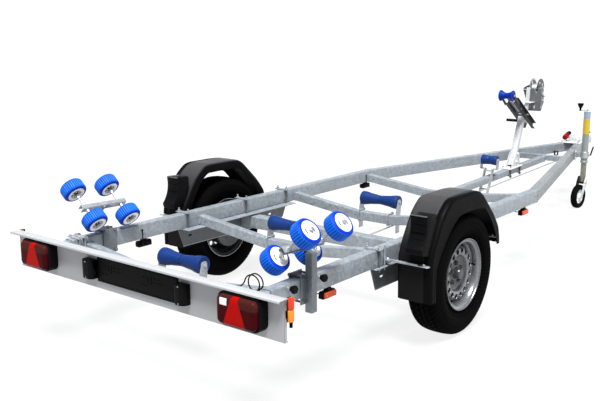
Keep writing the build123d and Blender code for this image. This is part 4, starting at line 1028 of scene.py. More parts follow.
# painted shade: the inboard half of the barrel is near-black
rim.add(lathe([(20, 158.6), (-30, 158.6), (-37, 160), (-43, 166), (-48, 172), (-65, 172.6), (-70.5, 176), (-73.5, 184), (-77, 189.5), (-82, 191), (-84, 193), (-83.4, 195.6), (-80, 196.4), (-74, 195), (-70, 190),
               (-67, 182), (-62, 177.5), (-46, 177), (-40, 171), (-35, 165), (-28, 163.6), (14, 163.6)], (WX, WY_, WZ_), (1, 0, 0), 144), 3)
rim.add(lathe([(14, 163.6), (22, 165), (30, 172), (36, 177), (62, 177.5), (67, 182), (70, 190), (74, 195), (80, 196.4), (83.4, 195.6), (84, 193), (82, 191), (77, 189.5), (73.5, 184), (70.5, 176), (65, 172.6), (40, 172),
               (35, 168), (27, 160), (20, 158.6)], (WX, WY_, WZ_), (1, 0, 0), 144), 0)
rim.add(lathe([(-80.5, 191.6), (-83.0, 191.8), (-84, 193), (-83.6, 195.2), (-81.5, 195.6)], (WX, WY_, WZ_), (1, 0, 0), 144), 2)
disc_o = [(9, 159.5), (14, 158), (24, 153.5), (36, 147.5), (43, 142), (46.5, 137), (49.5, 130), (51.2, 123), (51.6, 116), (50.6, 109), (47, 102), (41, 96.5), (35.5, 92), (32, 87), (30.5, 81), (30, 74), (30, 46), (32.5, 42), (32.5, 34.5)]
# the disc is split at r 99 mm: the hub well inside takes the dark copy of the rim silver as painted shade
d_out = [q for q in disc_o if q[1] >= 99.0] + [(44.0, 99.0)]
d_in = [(44.0, 99.0)] + [q for q in disc_o if q[1] < 99.0]
disc = lathe(d_out + [(a - 5, b) for a, b in reversed(d_out)], (WX, WY_, WZ_), (1, 0, 0), 192, loop=True)
rim.add(lathe(d_in + [(a - 5, b) for a, b in reversed(d_in)], (WX, WY_, WZ_), (1, 0, 0), 120, loop=True), 4)
holes = []
for k in range(16):
    t = 2 * math.pi * (k + 0.5) / 16
    c = (WY_ + 126 * math.cos(t), WZ_ + 126 * math.sin(t))
    holes.append(cyl((WX + 20, *c), (WX + 75, *c), 15.4, 30, 0.0))
rim.add(cut(disc, holes))
# painted shade: the back of the disc is near-black
rim.add(lathe([(3.6, 158.0), (8.6, 156.6), (18.6, 152.2), (30.6, 146.0), (37.6, 140.2)], (WX, WY_, WZ_), (1, 0, 0), 96), 3)
rim.add(lathe([(45.0, 108.0), (41.2, 101.0), (35.4, 95.2), (30.0, 91.0), (26.4, 86.4), (24.8, 80.4), (24.6, 74), (24.6, 46)], (WX, WY_, WZ_), (1, 0, 0), 96), 3)
for k in range(16):
    t = 2 * math.pi * (k + 0.5) / 16
    c = (WX + 49.6, WY_ + 126 * math.cos(t), WZ_ + 126 * math.sin(t))
    nrm = Vector((1, 0.05 * math.cos(t), 0.05 * math.sin(t)))
    rim.add(lathe([(-4.5, 14.8), (-0.3, 14.8), (0.9, 15.4), (0.6, 16.2), (-0.4, 16.8), (-4.5, 16.2)], c, nrm, 24, loop=True))
# valve and a balance weight
rim.add(cyl((WX + 34, WY_ + 158, WZ_ + 20), (WX + 62, WY_ + 152, WZ_ + 19), 4.2, 16), 1)
rim.add(cyl((WX + 60, WY_ + 152.4, WZ_ + 19.1), (WX + 69, WY_ + 150.5, WZ_ + 18.8), 5.0, 14), 1)
rim.add(lathe([(76.5, 186.5), (80.5, 187.5), (80.5, 191), (77.5, 191)], (WX, WY_, WZ_), (1, 0, 0), 10, loop=True, a0=2.1, a1=2.25), 2)
rim.make("rim_right_disc", [M_RIM, M_RUBBER, M_GALV_FINE, M_RIM_BACK_SHADE, M_RIM_WELL_SHADE], "wheel_right", ("rim_right",), "rim_silver")
rim.flipped().make("rim_left_disc", [M_RIM, M_RUBBER, M_GALV_FINE, M_RIM_BACK_SHADE, M_RIM_WELL_SHADE], "wheel_left", ("rim_left",), "rim_silver")

hub = Build()
# painted shade: the drum body is near-black
hub.add(lathe([(-83, 108), (-83, 115), (-80, 116), (-34, 116), (-30, 114), (-22, 101), (0, 88), (20, 76), (25, 72), (25, 16.1), (-40, 16.1), (-40, 40), (-33, 95), (-38, 108)],
              (WX, WY_, WZ_), (1, 0, 0), 96, loop=True), 1)
for k in range(12):
    t = k * math.pi / 6
    hub.add(rbox(-78, -36, -1.6, 1.6, 114.5, 117.3, 0.6, 1, Matrix.Translation((WX, WY_, WZ_)) @ Matrix.Rotation(t, 4, "X")), 1)
# grease cap pressed into the hub nose
# painted shade: the grease cap and the wheel nuts take the dark copy of the rim silver
hub.add(lathe([(25, 33), (37, 33), (38, 32), (38, 29.5), (40, 29), (44, 30.8), (46, 30.8), (47, 29.4), (59, 28.2), (63, 25), (64.5, 18), (64.8, 8), (64.2, 0)], (WX, WY_, WZ_), (1, 0, 0), 64), 0)
for k in range(5):
    t = 2 * math.pi * k / 5 + math.pi / 2
    c = Vector((WX + 30, WY_ + 56 * math.cos(t), WZ_ + 56 * math.sin(t)))
    hub.add(lathe([(0, 9), (0, 12.8), (5, 13.2), (7, 11)], c, (1, 0, 0), 28), 0)
    bolt(hub, c + Vector((5.5, 0, 0)), (1, 0, 0), 11.2, 2.0, 0, washer=False, spin=0.2 * k)
hub.make("hub_right_drum", [M_RIM_WELL_SHADE, M_RIM_BACK_SHADE], "wheel_right", ("hub_right",), "dark_steel")
hub.flipped().make("hub_left_drum", [M_RIM_WELL_SHADE, M_RIM_BACK_SHADE], "wheel_left", ("hub_left",), "dark_steel")

# ---------------------------------------------------------------------------------------------
# mudguards, stays, chocks
# ---------------------------------------------------------------------------------------------
MG = [(-352, 250), (-350, 490), (-244, 678), (-165, 746), (-100, 759), (60, 759), (160, 752), (207, 729), (262, 680), (345, 603), (413, 520), (436, 450), (440, 412)]
SKIRT_OUT = [(-300, 250), (-300, 420), (-235, 522), (-160, 602), (-80, 653), (0, 661), (100, 661), (205, 653), (234, 635), (300, 570), (350, 503), (386, 440), (393, 412)]
SKIRT_IN = [(-300, 250), (-300, 470), (-205, 642), (-140, 696), (-100, 702), (60, 702), (140, 696), (176, 681), (226, 636), (302, 562), (364, 482), (384, 440), (387, 412)]


def spline(points, per=14):
    """Catmull-Rom through the points, per samples to a span."""
    P = [np.array(points[0]) * 2.0 - np.array(points[1])] + [np.array(q, float) for q in points] + [np.array(points[-1]) * 2.0 - np.array(points[-2])]
    out = []
    for i in range(1, len(P) - 2):
        for k in range(per):
            t = k / per
            a, b, c, d = P[i - 1], P[i], P[i + 1], P[i + 2]
            m0, m1 = (c - a) * 0.36, (d - b) * 0.36
            h = np.linalg.norm(c - b)
            m0 *= min(1.0, h / (np.linalg.norm(m0) + 1e-6))
            m1 *= min(1.0, h / (np.linalg.norm(m1) + 1e-6))
            out.append(b * (2 * t ** 3 - 3 * t ** 2 + 1) + m0 * (t ** 3 - 2 * t ** 2 + t) + c * (3 * t ** 2 - 2 * t ** 3) + m1 * (t ** 3 - t ** 2))
    out.append(P[-2])
    return np.array(out)


NG = 124
dense, dense_o, dense_i = spline(MG), spline(SKIRT_OUT), spline(SKIRT_IN)
arc = np.concatenate([[0], np.cumsum(np.linalg.norm(np.diff(dense, axis=0), axis=1))])
where = np.interp(np.linspace(0, arc[-1], NG), arc, np.arange(len(arc)))


def at_index(a):
    return np.stack([np.interp(where, np.arange(len(a)), a[:, k]) for k in range(2)], 1)


path, so, si = at_index(dense), at_index(dense_o), at_index(dense_i)
path[:, 1] = np.minimum(path[:, 1], 758.8)
tang = np.gradient(path, axis=0)
tang /= np.linalg.norm(tang, axis=1)[:, None]
inn = np.stack([tang[:, 1], -tang[:, 0]], 1)       # towards the wheel
G0, G1 = 772.0, 974.0
LO = np.linalg.norm(so - path, axis=1)
LI = np.linalg.norm(si - path, axis=1)
d_o, d_i = (so - path) / LO[:, None], (si - path) / LI[:, None]


def guard_point(i, x, side, d):
    """Point of the guard's section: side 0 is the crown, 1 the outer skirt, -1 the inner skirt; a negative depth counts from the skirt's edge."""
    if side == 0:
        return (x, path[i, 0] + inn[i, 0] * d, path[i, 1] + inn[i, 1] * d)
    length, way = (LO[i], d_o[i]) if side > 0 else (LI[i], d_i[i])
    dd = length + d if d < 0 else min(d, length - 1.0)
    return (x, path[i, 0] + way[0] * dd, path[i, 1] + way[1] * dd)


sec = [(G0 + 0.6, -1, -0.6), (G0, -1, -3.0), (G0, -1, -16.0), (G0, -1, 30.0), (G0 + 1.5, 0, 14), (G0 + 6, 0, 7.5), (G0 + 13, 0, 3.2), (G0 + 22, 0, 1.0), (G0 + 34, 0, 0.2), (G0 + 90, 0, 0.0), (G0 + 146, 0, 0.2),
       (G0 + 152, 0, 0.6), (G0 + 155, 0, 2.8), (G0 + 157.5, 0, 4.8), (G0 + 160, 0, 4.8), (G0 + 162.5, 0, 2.8), (G0 + 166, 0, 0.8), (G0 + 176, 0, 1.0), (G0 + 188, 0, 2.8), (G0 + 195, 0, 7.0),
       (G0 + 199.4, 0, 13.0), (G1 - 1.2, 1, 22.0), (G1 - 1.0, 1, 30.0), (G1 - 1.0, 1, -15.0), (G1 - 0.8, 1, -12.8), (G1, 1, -11.0), (G1, 1, -3.0), (G1 - 0.6, 1, -0.6)]
sec_in = []
for x, side, d in reversed(sec):
    xi = x + 3.2 if x < G0 + 20 else x - 3.2 if x > G0 + 186 else x
    sec_in.append((xi, side, d + 3.2 if side == 0 else d))
rings = [[guard_point(i, *q) for q in sec + sec_in] for i in range(NG)]
guard = Build()
shell = cut(skin(rings, True, True), [rbox(G0 - 8, G0 + 12, 393, 427, 443, 461, 0.0, 1)])
guard.add(shell)
# bead along the skirts' lower edges
guard.add(tube([guard_point(i, G1 - 2.5, 1, -7.0) for i in range(NG)], 2.4, 8))
guard.make("mudguard_right_shell", [M_GUARD_SHEEN], "root", ("mudguard_right",), "black_plastic")
guard.flipped().make("mudguard_left_shell", [M_GUARD_SHEEN], "root", ("mudguard_left",), "black_plastic")

stay = Build()
for y0, y1, x1 in ((-386.0, -358.0, 970.0), (396.0, 424.0, 969.0)):
    ym = (y0 + y1) / 2
    st = prism([(RAIL_OUT + 0.3, y0), (x1 - 10, y0), (x1 - 3, y0 + 3), (x1, y0 + 9), (x1, y1 - 9), (x1 - 3, y1 - 3), (x1 - 10, y1), (RAIL_OUT + 0.3, y1)], "z", 446.5, 451.5, 0.8, 1, "rims")
    slot1 = prism([(x1 - 46 + a, ym + b) for a, b in rrect(0, 28, -4.5, 4.5, 4.4, 4)], "z", 440, 460)
    stay.add(cut(st, [slot1]))
    # stiffening lip along one edge and a foot against the rail
    stay.add(rbox(RAIL_OUT + 30, x1 - 60, y0, y0 + 4, 449, 457.5, 1.0, 1))
    stay.add(rbox(RAIL_OUT + 0.3, RAIL_OUT + 5.3, y0, y1, 446.5, 457.8, 1.0, 1))
    bolt(stay, (x1 - 32, ym, 451.5), (0, 0, 1), 8.0, 3.0, 1)
    bolt(stay, (RAIL_OUT + 16, ym, 451.5), (0, 0, 1), 8.0, 2.0, 0)
stay.mirrored()
stay.make("mudguard_stay_bars", [M_GALV_FINE, M_GALV_FINE], "root", ("mudguard_stays",), "galvanised_steel")

CH = [(-356, 500), (-330, 548), (-305, 588), (-294, 620), (-289, 655), (-290, 690), (-294, 703), (-384, 707), (-383, 690), (-380, 668), (-381, 640), (-384, 620), (-391, 596), (-402, 575), (-412, 557), (-425, 542),
      (-424, 528), (-418, 514)]
ch = Build()


def in_outline(y, z, margin=7.0):
    """True where (y, z) lies inside the chock's outline with some margin."""
    ok = True
    for dy, dz in ((margin, 0), (-margin, 0), (0, margin), (0, -margin)):
        inside, j = False, len(CH) - 1
        for i in range(len(CH)):
            (yi, zi), (yj, zj) = CH[i], CH[j]
            if (zi > z + dz) != (zj > z + dz) and y + dy < (yj - yi) * (z + dz - zi) / (zj - zi) + yi:
                inside = not inside
            j = i
        ok = ok and inside
    return ok


for dx in (0.0, -1746.0):
    ch.add(prism(CH, "x", 866.0 + dx, 954.0 + dx, 2.4, 2))
    # raised side frames with a light top lip, grip teeth along the concave face, small studs on the outer cheek
    for x0, x1 in ((862.0, 867.0), (953.0, 957.4)):
        ch.add(prism(CH, "x", x0 + dx, x1 + dx, 1.4, 2, "rims"))
    for k in range(7):
        t = k / 6.0
        y, z = -422 + 40 * t, 520 + 26 * t + 120 * t * t
        ch.add(rbox(870 + dx, 950 + dx, y - 1.5, y + 2.0, z - 3, z + 3, 1.0, 1))
    ch.add(rbox(864 + dx, 956 + dx, -386, -375, 700.5, 706.5, 1.6, 2), 1)
    for a in range(9):
        for b in range(14):
            y, z = -418 + 14 * a, 516 + 14 * b
            if in_outline(y, z):
                ch.add(cyl((957.2 + dx, y, z), (958.0 + dx, y, z), 3.0, 10, 0.3), 2)
ch.make("wheel_chock_blocks", [M_BLACK, M_GREYLIP, M_RUBBER], "root", ("wheel_chocks",), "black_plastic")

# ---------------------------------------------------------------------------------------------
# side marker lamps
# ---------------------------------------------------------------------------------------------
mk = Build()
for side, y, yg in ((1, -845.0, -890.0), (1, 1400.0, 1352.0), (-1, -752.0, -795.0), (-1, 1553.0, 1505.0)):
    one = []
    X = RAIL_OUT
    body = prism([(y - 50, 372), (y - 46, 366.5), (y + 46, 366.5), (y + 50, 372), (y + 48, 398), (y + 43, 402), (y - 43, 402), (y - 48, 398)], "x", X - 33.5, X - 6, 1.6, 2)
    lens = prism([(y - 45, 374), (y - 40, 370), (y + 40, 370), (y + 45, 374), (y + 44, 394), (y + 39, 398.5), (y - 39, 398.5), (y - 44, 394)], "x", X - 6, X + 3.8, 2.6, 3)
    one += [(body, 0), (lens, 1)]
    one.append((prism([(y - 15, 401), (y + 15, 401), (y + 15, 412), (y + 9, 419.6), (y - 9, 419.6), (y - 15, 412)], "x", X - 30, X - 4.5, 1.2, 2), 0))
    for dy in (-31, 31):
        one.append((lathe([(0, 0), (0.8, 3.4), (-1.5, 4.2), (-1.5, 0)], (X + 3.6, y + dy, 384), (1, 0, 0), 14), 2))
    # lead: out of the back, up along the rail's inner face to its grommet
    lead = arc_path([(X - 30, y - 26, 388), (X - 50, yg + 6, 386.5), (X - 62.5, yg + 1.5, 396), (X - 64, yg, 430), (X - 64, yg, 470)], 14, 6)
    one.append((tube(lead, 2.7, 10), 0))
    one.append((lathe([(0, 4.6), (0.6, 6.4), (3.4, 6.8), (4.4, 5.0), (4.6, 3.0)], (X - 60.3, yg, 474), (-1, 0, 0), 20), 0))
    one.append((tube(arc_path([(X - 64, yg, 466), (X - 64.5, yg, 474), (X - 60.5, yg, 474)], 3, 4), 2.7, 10), 0))
    for shp, m in one:
        mk.add(shp if side > 0 else mirror_shape(shp), m)
mk.make("side_marker_set", [M_BLACK, M_AMBERRED, M_GALV_FINE], "root", ("side_marker_lamps",), "black_plastic")

# ---------------------------------------------------------------------------------------------
# light board
# ---------------------------------------------------------------------------------------------
BY = -1413.0
bd = Build()
bd.add(prism([(-1391, 363), (-1391, 366), (BY + 3, 366), (BY + 3, 553), (BY, 553), (BY, 364), (BY + 1, 363)], "x", -906, 906, 0.5, 1))
bd.add(prism([(BY + 3, 551.6), (BY + 3, 554), (BY + 2, 555), (BY - 51, 555), (BY - 52, 554), (BY - 52, 545), (BY - 49.4, 545), (BY - 49.4, 552), (BY, 552), (BY + 0.4, 551.6)], "x", -919.6, 919.6, 0.35, 1))
for s in (-1, 1):
    # folded ends of the panel and the rivets of the tubes' end plates
    bd.add(rbox(s * 903.4, s * 905.8, BY, BY + 14, 366, 552, 0.6, 1))
    for x in (664, 706):
        for z in (404, 528):
            bd.add(lathe([(0, 0), (-2.2, 2.4), (-1.4, 5.0), (0.4, 5.6), (0.4, 0)], (s * x, BY, z), (0, 1, 0), 16), 1)
    bd.add(rbox(s * 650, s * 720, BY + 3, BY + 8, 396, 536, 1.2, 1), 1)
for x in np.arange(-860, 870, 215):
    bd.add(lathe([(0, 0), (1.3, 1.6), (0.9, 3.2), (-0.3, 3.6), (-0.3, 0)], (x, BY - 26, 555), (0, 0, 1), 14), 0)
bd.add(lathe([(0, 3.1), (0, 8), (5, 8), (6, 6.4), (10.5, 6.0), (11.9, 5.0), (12, 3.1)], (650, BY + 1, 548), (0, 1, 0), 24, loop=True), 2)
# edge cable duct behind the panel
bd.add(rbox(-640, 640, BY + 3, BY + 13, 370, 384, 2.0, 2), 2)
bd.make("light_board_panel", [M_BOARD, M_GALV_FINE, M_BLACK], "light_board", ("light_board",), "board_white")

bt = Build()
bt.add(hollow(rrect(660, 710, 425, 505, 6.0, 4), rrect(663, 707, 428, 502, 3.5, 4), [BY + 3.2, -1200.0, -560.0], lambda s, q: (q[0], s, q[1])))
rim_ = [(q[0], BY + 9, q[1]) for q in rrect(659.4, 710.6, 424.4, 505.6, 6.4, 4)]
bt.add(bead(rim_ + rim_[:1], 2.4, 21))
bt.mirrored()
bt.add(lathe([(0, 3.1), (0, 8), (2.5, 8), (3.6, 6.6), (4.0, 3.1)], (700, -1336, 505), (0, 0, 1), 24, loop=True), 1)
bt.make("board_tube_pair", [M_GALV, M_RUBBER], "light_board", ("board_tubes",), "galvanised_steel")

# rear lamps: black housing, glossy rim, lens in zones
rl = Build()
LXC, LHW, LZ0, LZ1 = 702.0, 118.0, 392.0, 540.0


def lamp_ring(inset, y, r=36.0):
    return [(q[0], y, q[1]) for q in rrect(LXC - LHW + inset, LXC + LHW - inset, LZ0 + inset, LZ1 - inset, max(6.0, r - inset), 10)]


house = skin([lamp_ring(0.5, BY - 0.2), lamp_ring(0, BY - 4), lamp_ring(0, -1450), lamp_ring(0, -1459), lamp_ring(1.2, -1462.5), lamp_ring(4.5, -1464), lamp_ring(8.5, -1463), lamp_ring(10.5, -1459), lamp_ring(10.8, -1455)], True, True)
lens = skin([lamp_ring(10.4, -1456), lamp_ring(10.2, -1467), lamp_ring(10.8, -1473), lamp_ring(13.0, -1479), lamp_ring(17.5, -1483.5), lamp_ring(24.5, -1486.2), lamp_ring(34, -1487), lamp_ring(48, -1487)], False, True)
rl.add(house, 0)
rl.add(lens, 1)
for x, z in ((-88, -44), (88, -44), (-88, 44), (88, 44)):
    rl.add(lathe([(0, 0), (0, 2.0), (0.6, 2.6), (0.6, 4.2), (-0.8, 4.8), (-1.5, 0)], (LXC + x, -1484.2, 466 + z), (0, -1, 0), 18), 2)
for z in (414, 430, 446):
    rl.add(rbox(LXC + LHW - 0.4, LXC + LHW + 1.2, -1448, -1418, z, z + 3, 0.5, 1), 0)
rl.mirrored()
for s in (-1, 1):
    e = []
    x0, x1 = 908.5, 931.5
    e.append((rbox(x0 + 3, x1 - 1, -1404.6, -1381.4, 504, 554.6, 4.2, 3), 3))
    e.append((rbox(x0 + 3, x1 - 1, -1404.6, -1381.4, 452.4, 503.2, 4.2, 3), 4))
    e.append((rbox(x0, x0 + 5, -1405, -1381, 451.5, 555, 1.4, 2), 0))
    e.append((rbox(893, 909.5, -1410, -1402, 470, 500, 1.4, 2), 0))
    e.append((lathe([(0, 0), (0.8, 5), (1.6, 6.8), (20, 7), (23, 6.2), (27, 6.4), (27, 0)], (921, -1393, 428), (0, 0, 1), 24), 5))
    e.append((lathe([(0, 5.2), (0, 8.0), (2.5, 8.0), (2.5, 5.2)], (921, -1393, 449), (0, 0, 1), 24, loop=True), 5))
    for shp, m in e:
        rl.add(shp if s > 0 else mirror_shape(shp), m)
rl.make("rear_lamp_set", [M_BLACK, M_LENS, M_DARK, M_REDORANGE, M_AMBER, M_RUBBER], "light_board", ("rear_lamps",), "lamp_red")

pl = Build()
plate = prism([(q[0], q[1]) for q in rrect(-258, 300, 402, 522, 5, 4)], "y", -1423, BY - 0.2, 1.6, 2, "rims")
pocket = [prism([(q[0], q[1]) for q in rrect(-252, 294, 408, 516, 3, 3)], "y", -1440, -1420.5)]
for c in (-152.0, 128.0):
    for x0, x1, z0, z1 in ((-58, -24, 486, 490), (-25, -20, 464, 490), (-4, 1, 456, 496), (14, 32, 488, 492), (12, 74, 470, 474), (-66, -58, 446, 451), (-46, -30, 446, 450), (50, 58, 488, 493)):
        pocket.append(prism([(q[0], q[1]) for q in rrect(c + x0, c + x1, z0, z1, 1.6, 2)], "y", -1440, -1405))
pl.add(cut(plate, pocket))
# clips for the blank plate
for x in (-230, 21, 272):
    pl.add(rbox(x - 11, x + 11, -1423, -1418, 408.5, 414, 1.2, 2))
    pl.add(rbox(x - 11, x + 11, -1423, -1418, 510, 515.5, 1.2, 2))
for x0, x1, s in ((-344.0, -264.0, 1), (306.0, 374.0, -1)):
    xa, xb = (x0, x1) if s > 0 else (x1, x0)
    out = [(xa, BY - 0.3), (xa, -1436), (xa + s * 10, -1452), (xa + s * 26, -1458), (xb - s * 16, -1458), (xb, -1446), (xb, BY - 0.3)]
    pl.add(prism(out, "z", 413, 507, 3.0, 3))
    pl.add(rbox(min(xb - s * 5, xb), max(xb - s * 5, xb), -1442, -1420, 424, 496, 1.4, 2), 2)
    for z in (421, 499):
        pl.add(lathe([(0, 0), (0, 1.4), (0.8, 2.0), (0.6, 3.6), (-1.4, 4.0), (-1.4, 0)], ((xa + xb) / 2, -1457.6, z), (0, -1, 0), 14), 3)
pl.make("plate_holder_set", [M_BLACK, M_DARK, M_CLEAR, M_GALV_FINE], "light_board", ("plate_holder",), "black_plastic")

# lamp lead: the route's points are the curve's control points
lead = [(650.0, BY + 13, 548.0), (650.0, BY + 27, 548.0)]
for k in range(19):
    a = math.pi - 2 * math.pi * k / 12
    lead.append((692.0 + 37.0 * math.cos(a), BY + 41 + 1.9 * k, 562.0 + 37.0 * math.sin(a)))
lead += [(724.0, -1337.0, 541.0), (700.0, -1336.0, 527.0), (700.0, -1336.0, 509.0)]
cu = bpy.data.curves.new("board_cable_lead", "CURVE")
cu.dimensions = "3D"
sp = cu.splines.new("NURBS")
sp.points.add(len(lead) - 1)
for q, p in zip(sp.points, lead):
    w = row(p)
    q.co = (w.x, w.y, w.z, 1.0)
sp.order_u = 3
sp.use_endpoint_u = True
sp.resolution_u = 10
cu.bevel_depth = 0.003
cu.bevel_resolution = 6
cu.use_fill_caps = True
cu.materials.append(M_RUBBER)
cable = bpy.data.objects.new("board_cable_lead", cu)
scene.collection.objects.link(cable)
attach(cable, "light_board")
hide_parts("board_cable")

# ---------------------------------------------------------------------------------------------
# roller cradles
# ---------------------------------------------------------------------------------------------
ct, st = math.cos(math.radians(40.0)), math.sin(math.radians(40.0))
CU = Vector((ct, 0, st))
CN = Vector((-st, 0, ct))
CC = Vector((716.0, -1027.0, 668.0))
cp, sp_ = math.cos(math.radians(-2.4)), math.sin(math.radians(-2.4))
CV = Vector((0, cp, 0)) + CN * sp_
CM_ = CN * cp - Vector((0, sp_, 0))
RU = -22.0


def at(u, v, m):
    return CC + CU * u + CV * v + CM_ * m


ROCK = Matrix((CU, CV, CM_)).transposed().to_4x4()
ROCK.translation = CC

rk = Build()
# U channel, open side down: section in (u, m), run along v
t3 = 3.0
sect = [(RU - 14, -15)] + [(RU - 14 + 5 - 5 * math.cos(a), 17 - 5 + 5 * math.sin(a)) for a in np.linspace(0, math.pi / 2, 5)] \
    + [(RU + 14 - 5 + 5 * math.sin(a), 17 - 5 + 5 * math.cos(a)) for a in np.linspace(0, math.pi / 2, 5)] + [(RU + 14, -15), (RU + 11, -15)] \
    + [(RU + 11 - 2.5 + 2.5 * math.cos(a), 14 - 2.5 + 2.5 * math.sin(a)) for a in np.linspace(0, math.pi / 2, 4)] \
    + [(RU - 11 + 2.5 - 2.5 * math.sin(a), 14 - 2.5 + 2.5 * math.cos(a)) for a in np.linspace(0, math.pi / 2, 4)] + [(RU - 11, -15)]
channel = skin([[tuple(ROCK @ Vector((a, v, b))) for a, b in sect] for v in (-150, -149.2, 149.2, 150)], True, True)
rk.add(channel)
for sg in (-1, 1):
    v = sg * 115.5
    rk.add(cyl(at(-158, v, 0), at(158, v, 0), 6.0, 20, 1.0))
    for u0, u1 in ((-72, RU - 14), (RU + 14, RU + 24), (60, 72)):
        rk.add(pipe(at(u0, v, 0), at(u1, v, 0), 10.0, 6.0, 24))
    for u, d in ((RU + 14, 1), (RU - 14, -1)):
        rk.add(lathe([(0, 6.2), (0, 13), (1.8, 13), (1.8, 6.2)], at(u, v, 0), CU * d, 24, loop=True))
    for u, d in ((148.6, 1), (-148.6, -1)):
        bolt(rk, at(u, v, 0), CU * d, 11.0, 0.0, 1, spin=0.3 * sg + u)
    bolt(rk, at(60, v, 0), CU * -1, 11.0, 0.0, 0)
# pivot boss on the channel
for d in (-1, 1):
    rk.add(lathe([(0, 6.2), (0, 12), (3, 12), (3, 6.2)], at(RU + d * 14, 0, 0), CU * d, 24, loop=True))
rk.make("rocker_right_channel", [M_GALV_FINE, M_GALV_FINE], "rocker_right", ("rocker_right",), "galvanised_steel")
rk.flipped().make("rocker_left_channel", [M_GALV_FINE, M_GALV_FINE], "rocker_left", ("rocker_left",), "galvanised_steel")


def wobble(centre):
    """Ribbed blue tread on a white hub; a deep recess with the axle nut on the inner face, a capped outer face."""
    b = Build()
    N = 256
    th = np.linspace(0, 2 * math.pi, N, endpoint=False)
    ph = np.mod(np.arange(N), 8)
    g = np.where(ph < 2, 1.0, np.where((ph == 2) | (ph == 7), 0.35, 0.0))
    prof = [(-34.4, 47.5), (-35, 49), (-35, 52.5), (-34, 55.5), (-32, 59), (-29, 62.3), (-25.5, 64.6), (-21, 65.8), (-15, 66), (0, 66), (15, 66), (21, 65.8), (25.5, 64.6), (29, 62.3),
            (32, 59), (34, 55.5), (35, 52.5), (35, 49), (34.4, 47.5)]
    rings = []
    for d, r in prof:
        k = 2.3 * max(0.0, min(1.0, (33.0 - abs(d)) / 6.0))
        rr = r - g * k
        rings.append(np.stack([rr * np.cos(th), rr * np.sin(th), np.full(N, float(d))], 1))
    M = Matrix((CV, CM_, CU)).transposed().to_4x4()
    M.translation = centre
    b.add(skin(rings[5:14]), 0, M)
    # painted shade: the rounded sides take the darker copy of the blue
    b.add(skin(rings[:6]), 3, M)
    b.add(skin(rings[13:]), 3, M)
    # painted shade: dark strips at the bottoms of the tread grooves
    for k in range(N // 8):
        a = 2 * math.pi * (8 * k + 0.5) / N
        b.add(rbox(63.2, 64.1, -0.9, 0.9, -27.0, 27.0, 0.0, 1, Matrix.Rotation(a, 4, "Z")), 4, M)
    z = (0, 0, 1)
    o = (0, 0, 0)
    # inner face (towards the keel): white ring and deep recess
    b.add(lathe([(-34.2, 47.8), (-34.8, 46.5), (-34.8, 32.5), (-34.0, 31), (-25, 29.5), (-24.6, 27), (-24.6, 26.5)], o, z, 72), 1, M)
    b.add(lathe([(-24.6, 26.5), (-24.6, 14), (-34.4, 13), (-35, 12), (-35, 6.1)], o, z, 72), 2, M)
    for k in range(6):
        a = k * math.pi / 3
        b.add(rbox(13, 29.6, -1.2, 1.2, -34.0, -24.6, 0.5, 1, Matrix.Rotation(a, 4, "Z")), 1, M)
    b.add(lathe([(-24.4, 14.2), (-24.7, 14.2), (-24.7, 29.2), (-24.4, 29.2)], o, z, 48, loop=True), 2, M)
    # outer face: shallow dish, raised boss, two slots drawn as thin dark strips, which are painted shade
    b.add(lathe([(34.2, 47.8), (34.8, 46.5), (34.8, 43), (33.2, 41.5), (32.8, 36), (33.0, 22), (33.6, 18.5), (34.8, 17), (35, 15.5), (35, 6.1)], o, z, 72), 1, M)
    for s in (-1, 1):
        b.add(lathe([(33.0, 22.5), (33.35, 22.5), (33.35, 29.5), (33.0, 29.5)], o, z, 14, loop=True, a0=math.pi / 2 * s - 0.5, a1=math.pi / 2 * s + 0.5), 2, M)
    return b


for rn, sv, su in (("rear_inner", -1, -1), ("rear_outer", -1, 1), ("front_inner", 1, -1), ("front_outer", 1, 1)):
    w = wobble(at(su * 112.0, sv * 115.5, 0))
    w.make("roller_right_" + rn, [M_BLUE, M_WHITE, M_DARK, M_BLUE_SIDE_SHADE, M_BLUE_GROOVE_SHADE], "wobble_right_" + rn, ("wobble_right_" + rn,), "wobble_blue")
    w.flipped().make("roller_left_" + rn, [M_BLUE, M_WHITE, M_DARK, M_BLUE_SIDE_SHADE, M_BLUE_GROOVE_SHADE], "wobble_left_" + rn, ("wobble_left_" + rn,), "wobble_blue")

CY_ = -1027.0
po = Build()
PX0, PX1 = RAIL_OUT + 6, RAIL_OUT + 46
po.add(hollow(rrect(PX0, PX1, CY_ - 20, CY_ + 20, 4.5, 4), rrect(PX0 + 3, PX1 - 3, CY_ - 17, CY_ + 17, 2.0, 4), [355.0, 480.0, 622.0], lambda s, q: (q[0], q[1], s)))
po.add(rbox(PX0 + 0.5, PX1 - 0.5, CY_ - 19.5, CY_ + 19.5, 621, 629.5, 2.0, 2))
po.add(rbox(RAIL_OUT + 0.6, RAIL_OUT + 6.3, CY_ - 48, CY_ + 48, 392, 528, 1.4, 2))
po.add(bead([(PX0 + 1, CY_ - 20.5, z) for z in np.linspace(394, 526, 40)], 2.4, 31))
po.add(bead([(PX0 + 1, CY_ + 20.5, z) for z in np.linspace(394, 526, 40)], 2.4, 32))
neck = [(712, 622), (PX1 - 2, 622), (PX1 - 2, 629.5), (745, 634), (724, 641), (712, 634)]
po.add(prism(neck, "y", CY_ - 15, CY_ + 15, 1.5, 2))
cr = at(RU, 0, 0)
TM = Matrix((CU, Vector((0, 1, 0)), CN)).transposed().to_4x4()
TM.translation = cr
po.add(rbox(-8, 8, -15, 15, -45, -2, 2.0, 2, TM))
po.add(cyl(cr - CU * 8, cr + CU * 8, 14.0, 32))
po.add(cyl(cr - CU * 20.5, cr + CU * 20.5, 5.9, 20))
for d in (-1, 1):
    po.add(hexagon(cr + CU * (17.2 * d), CU * d, 18, 3.6))
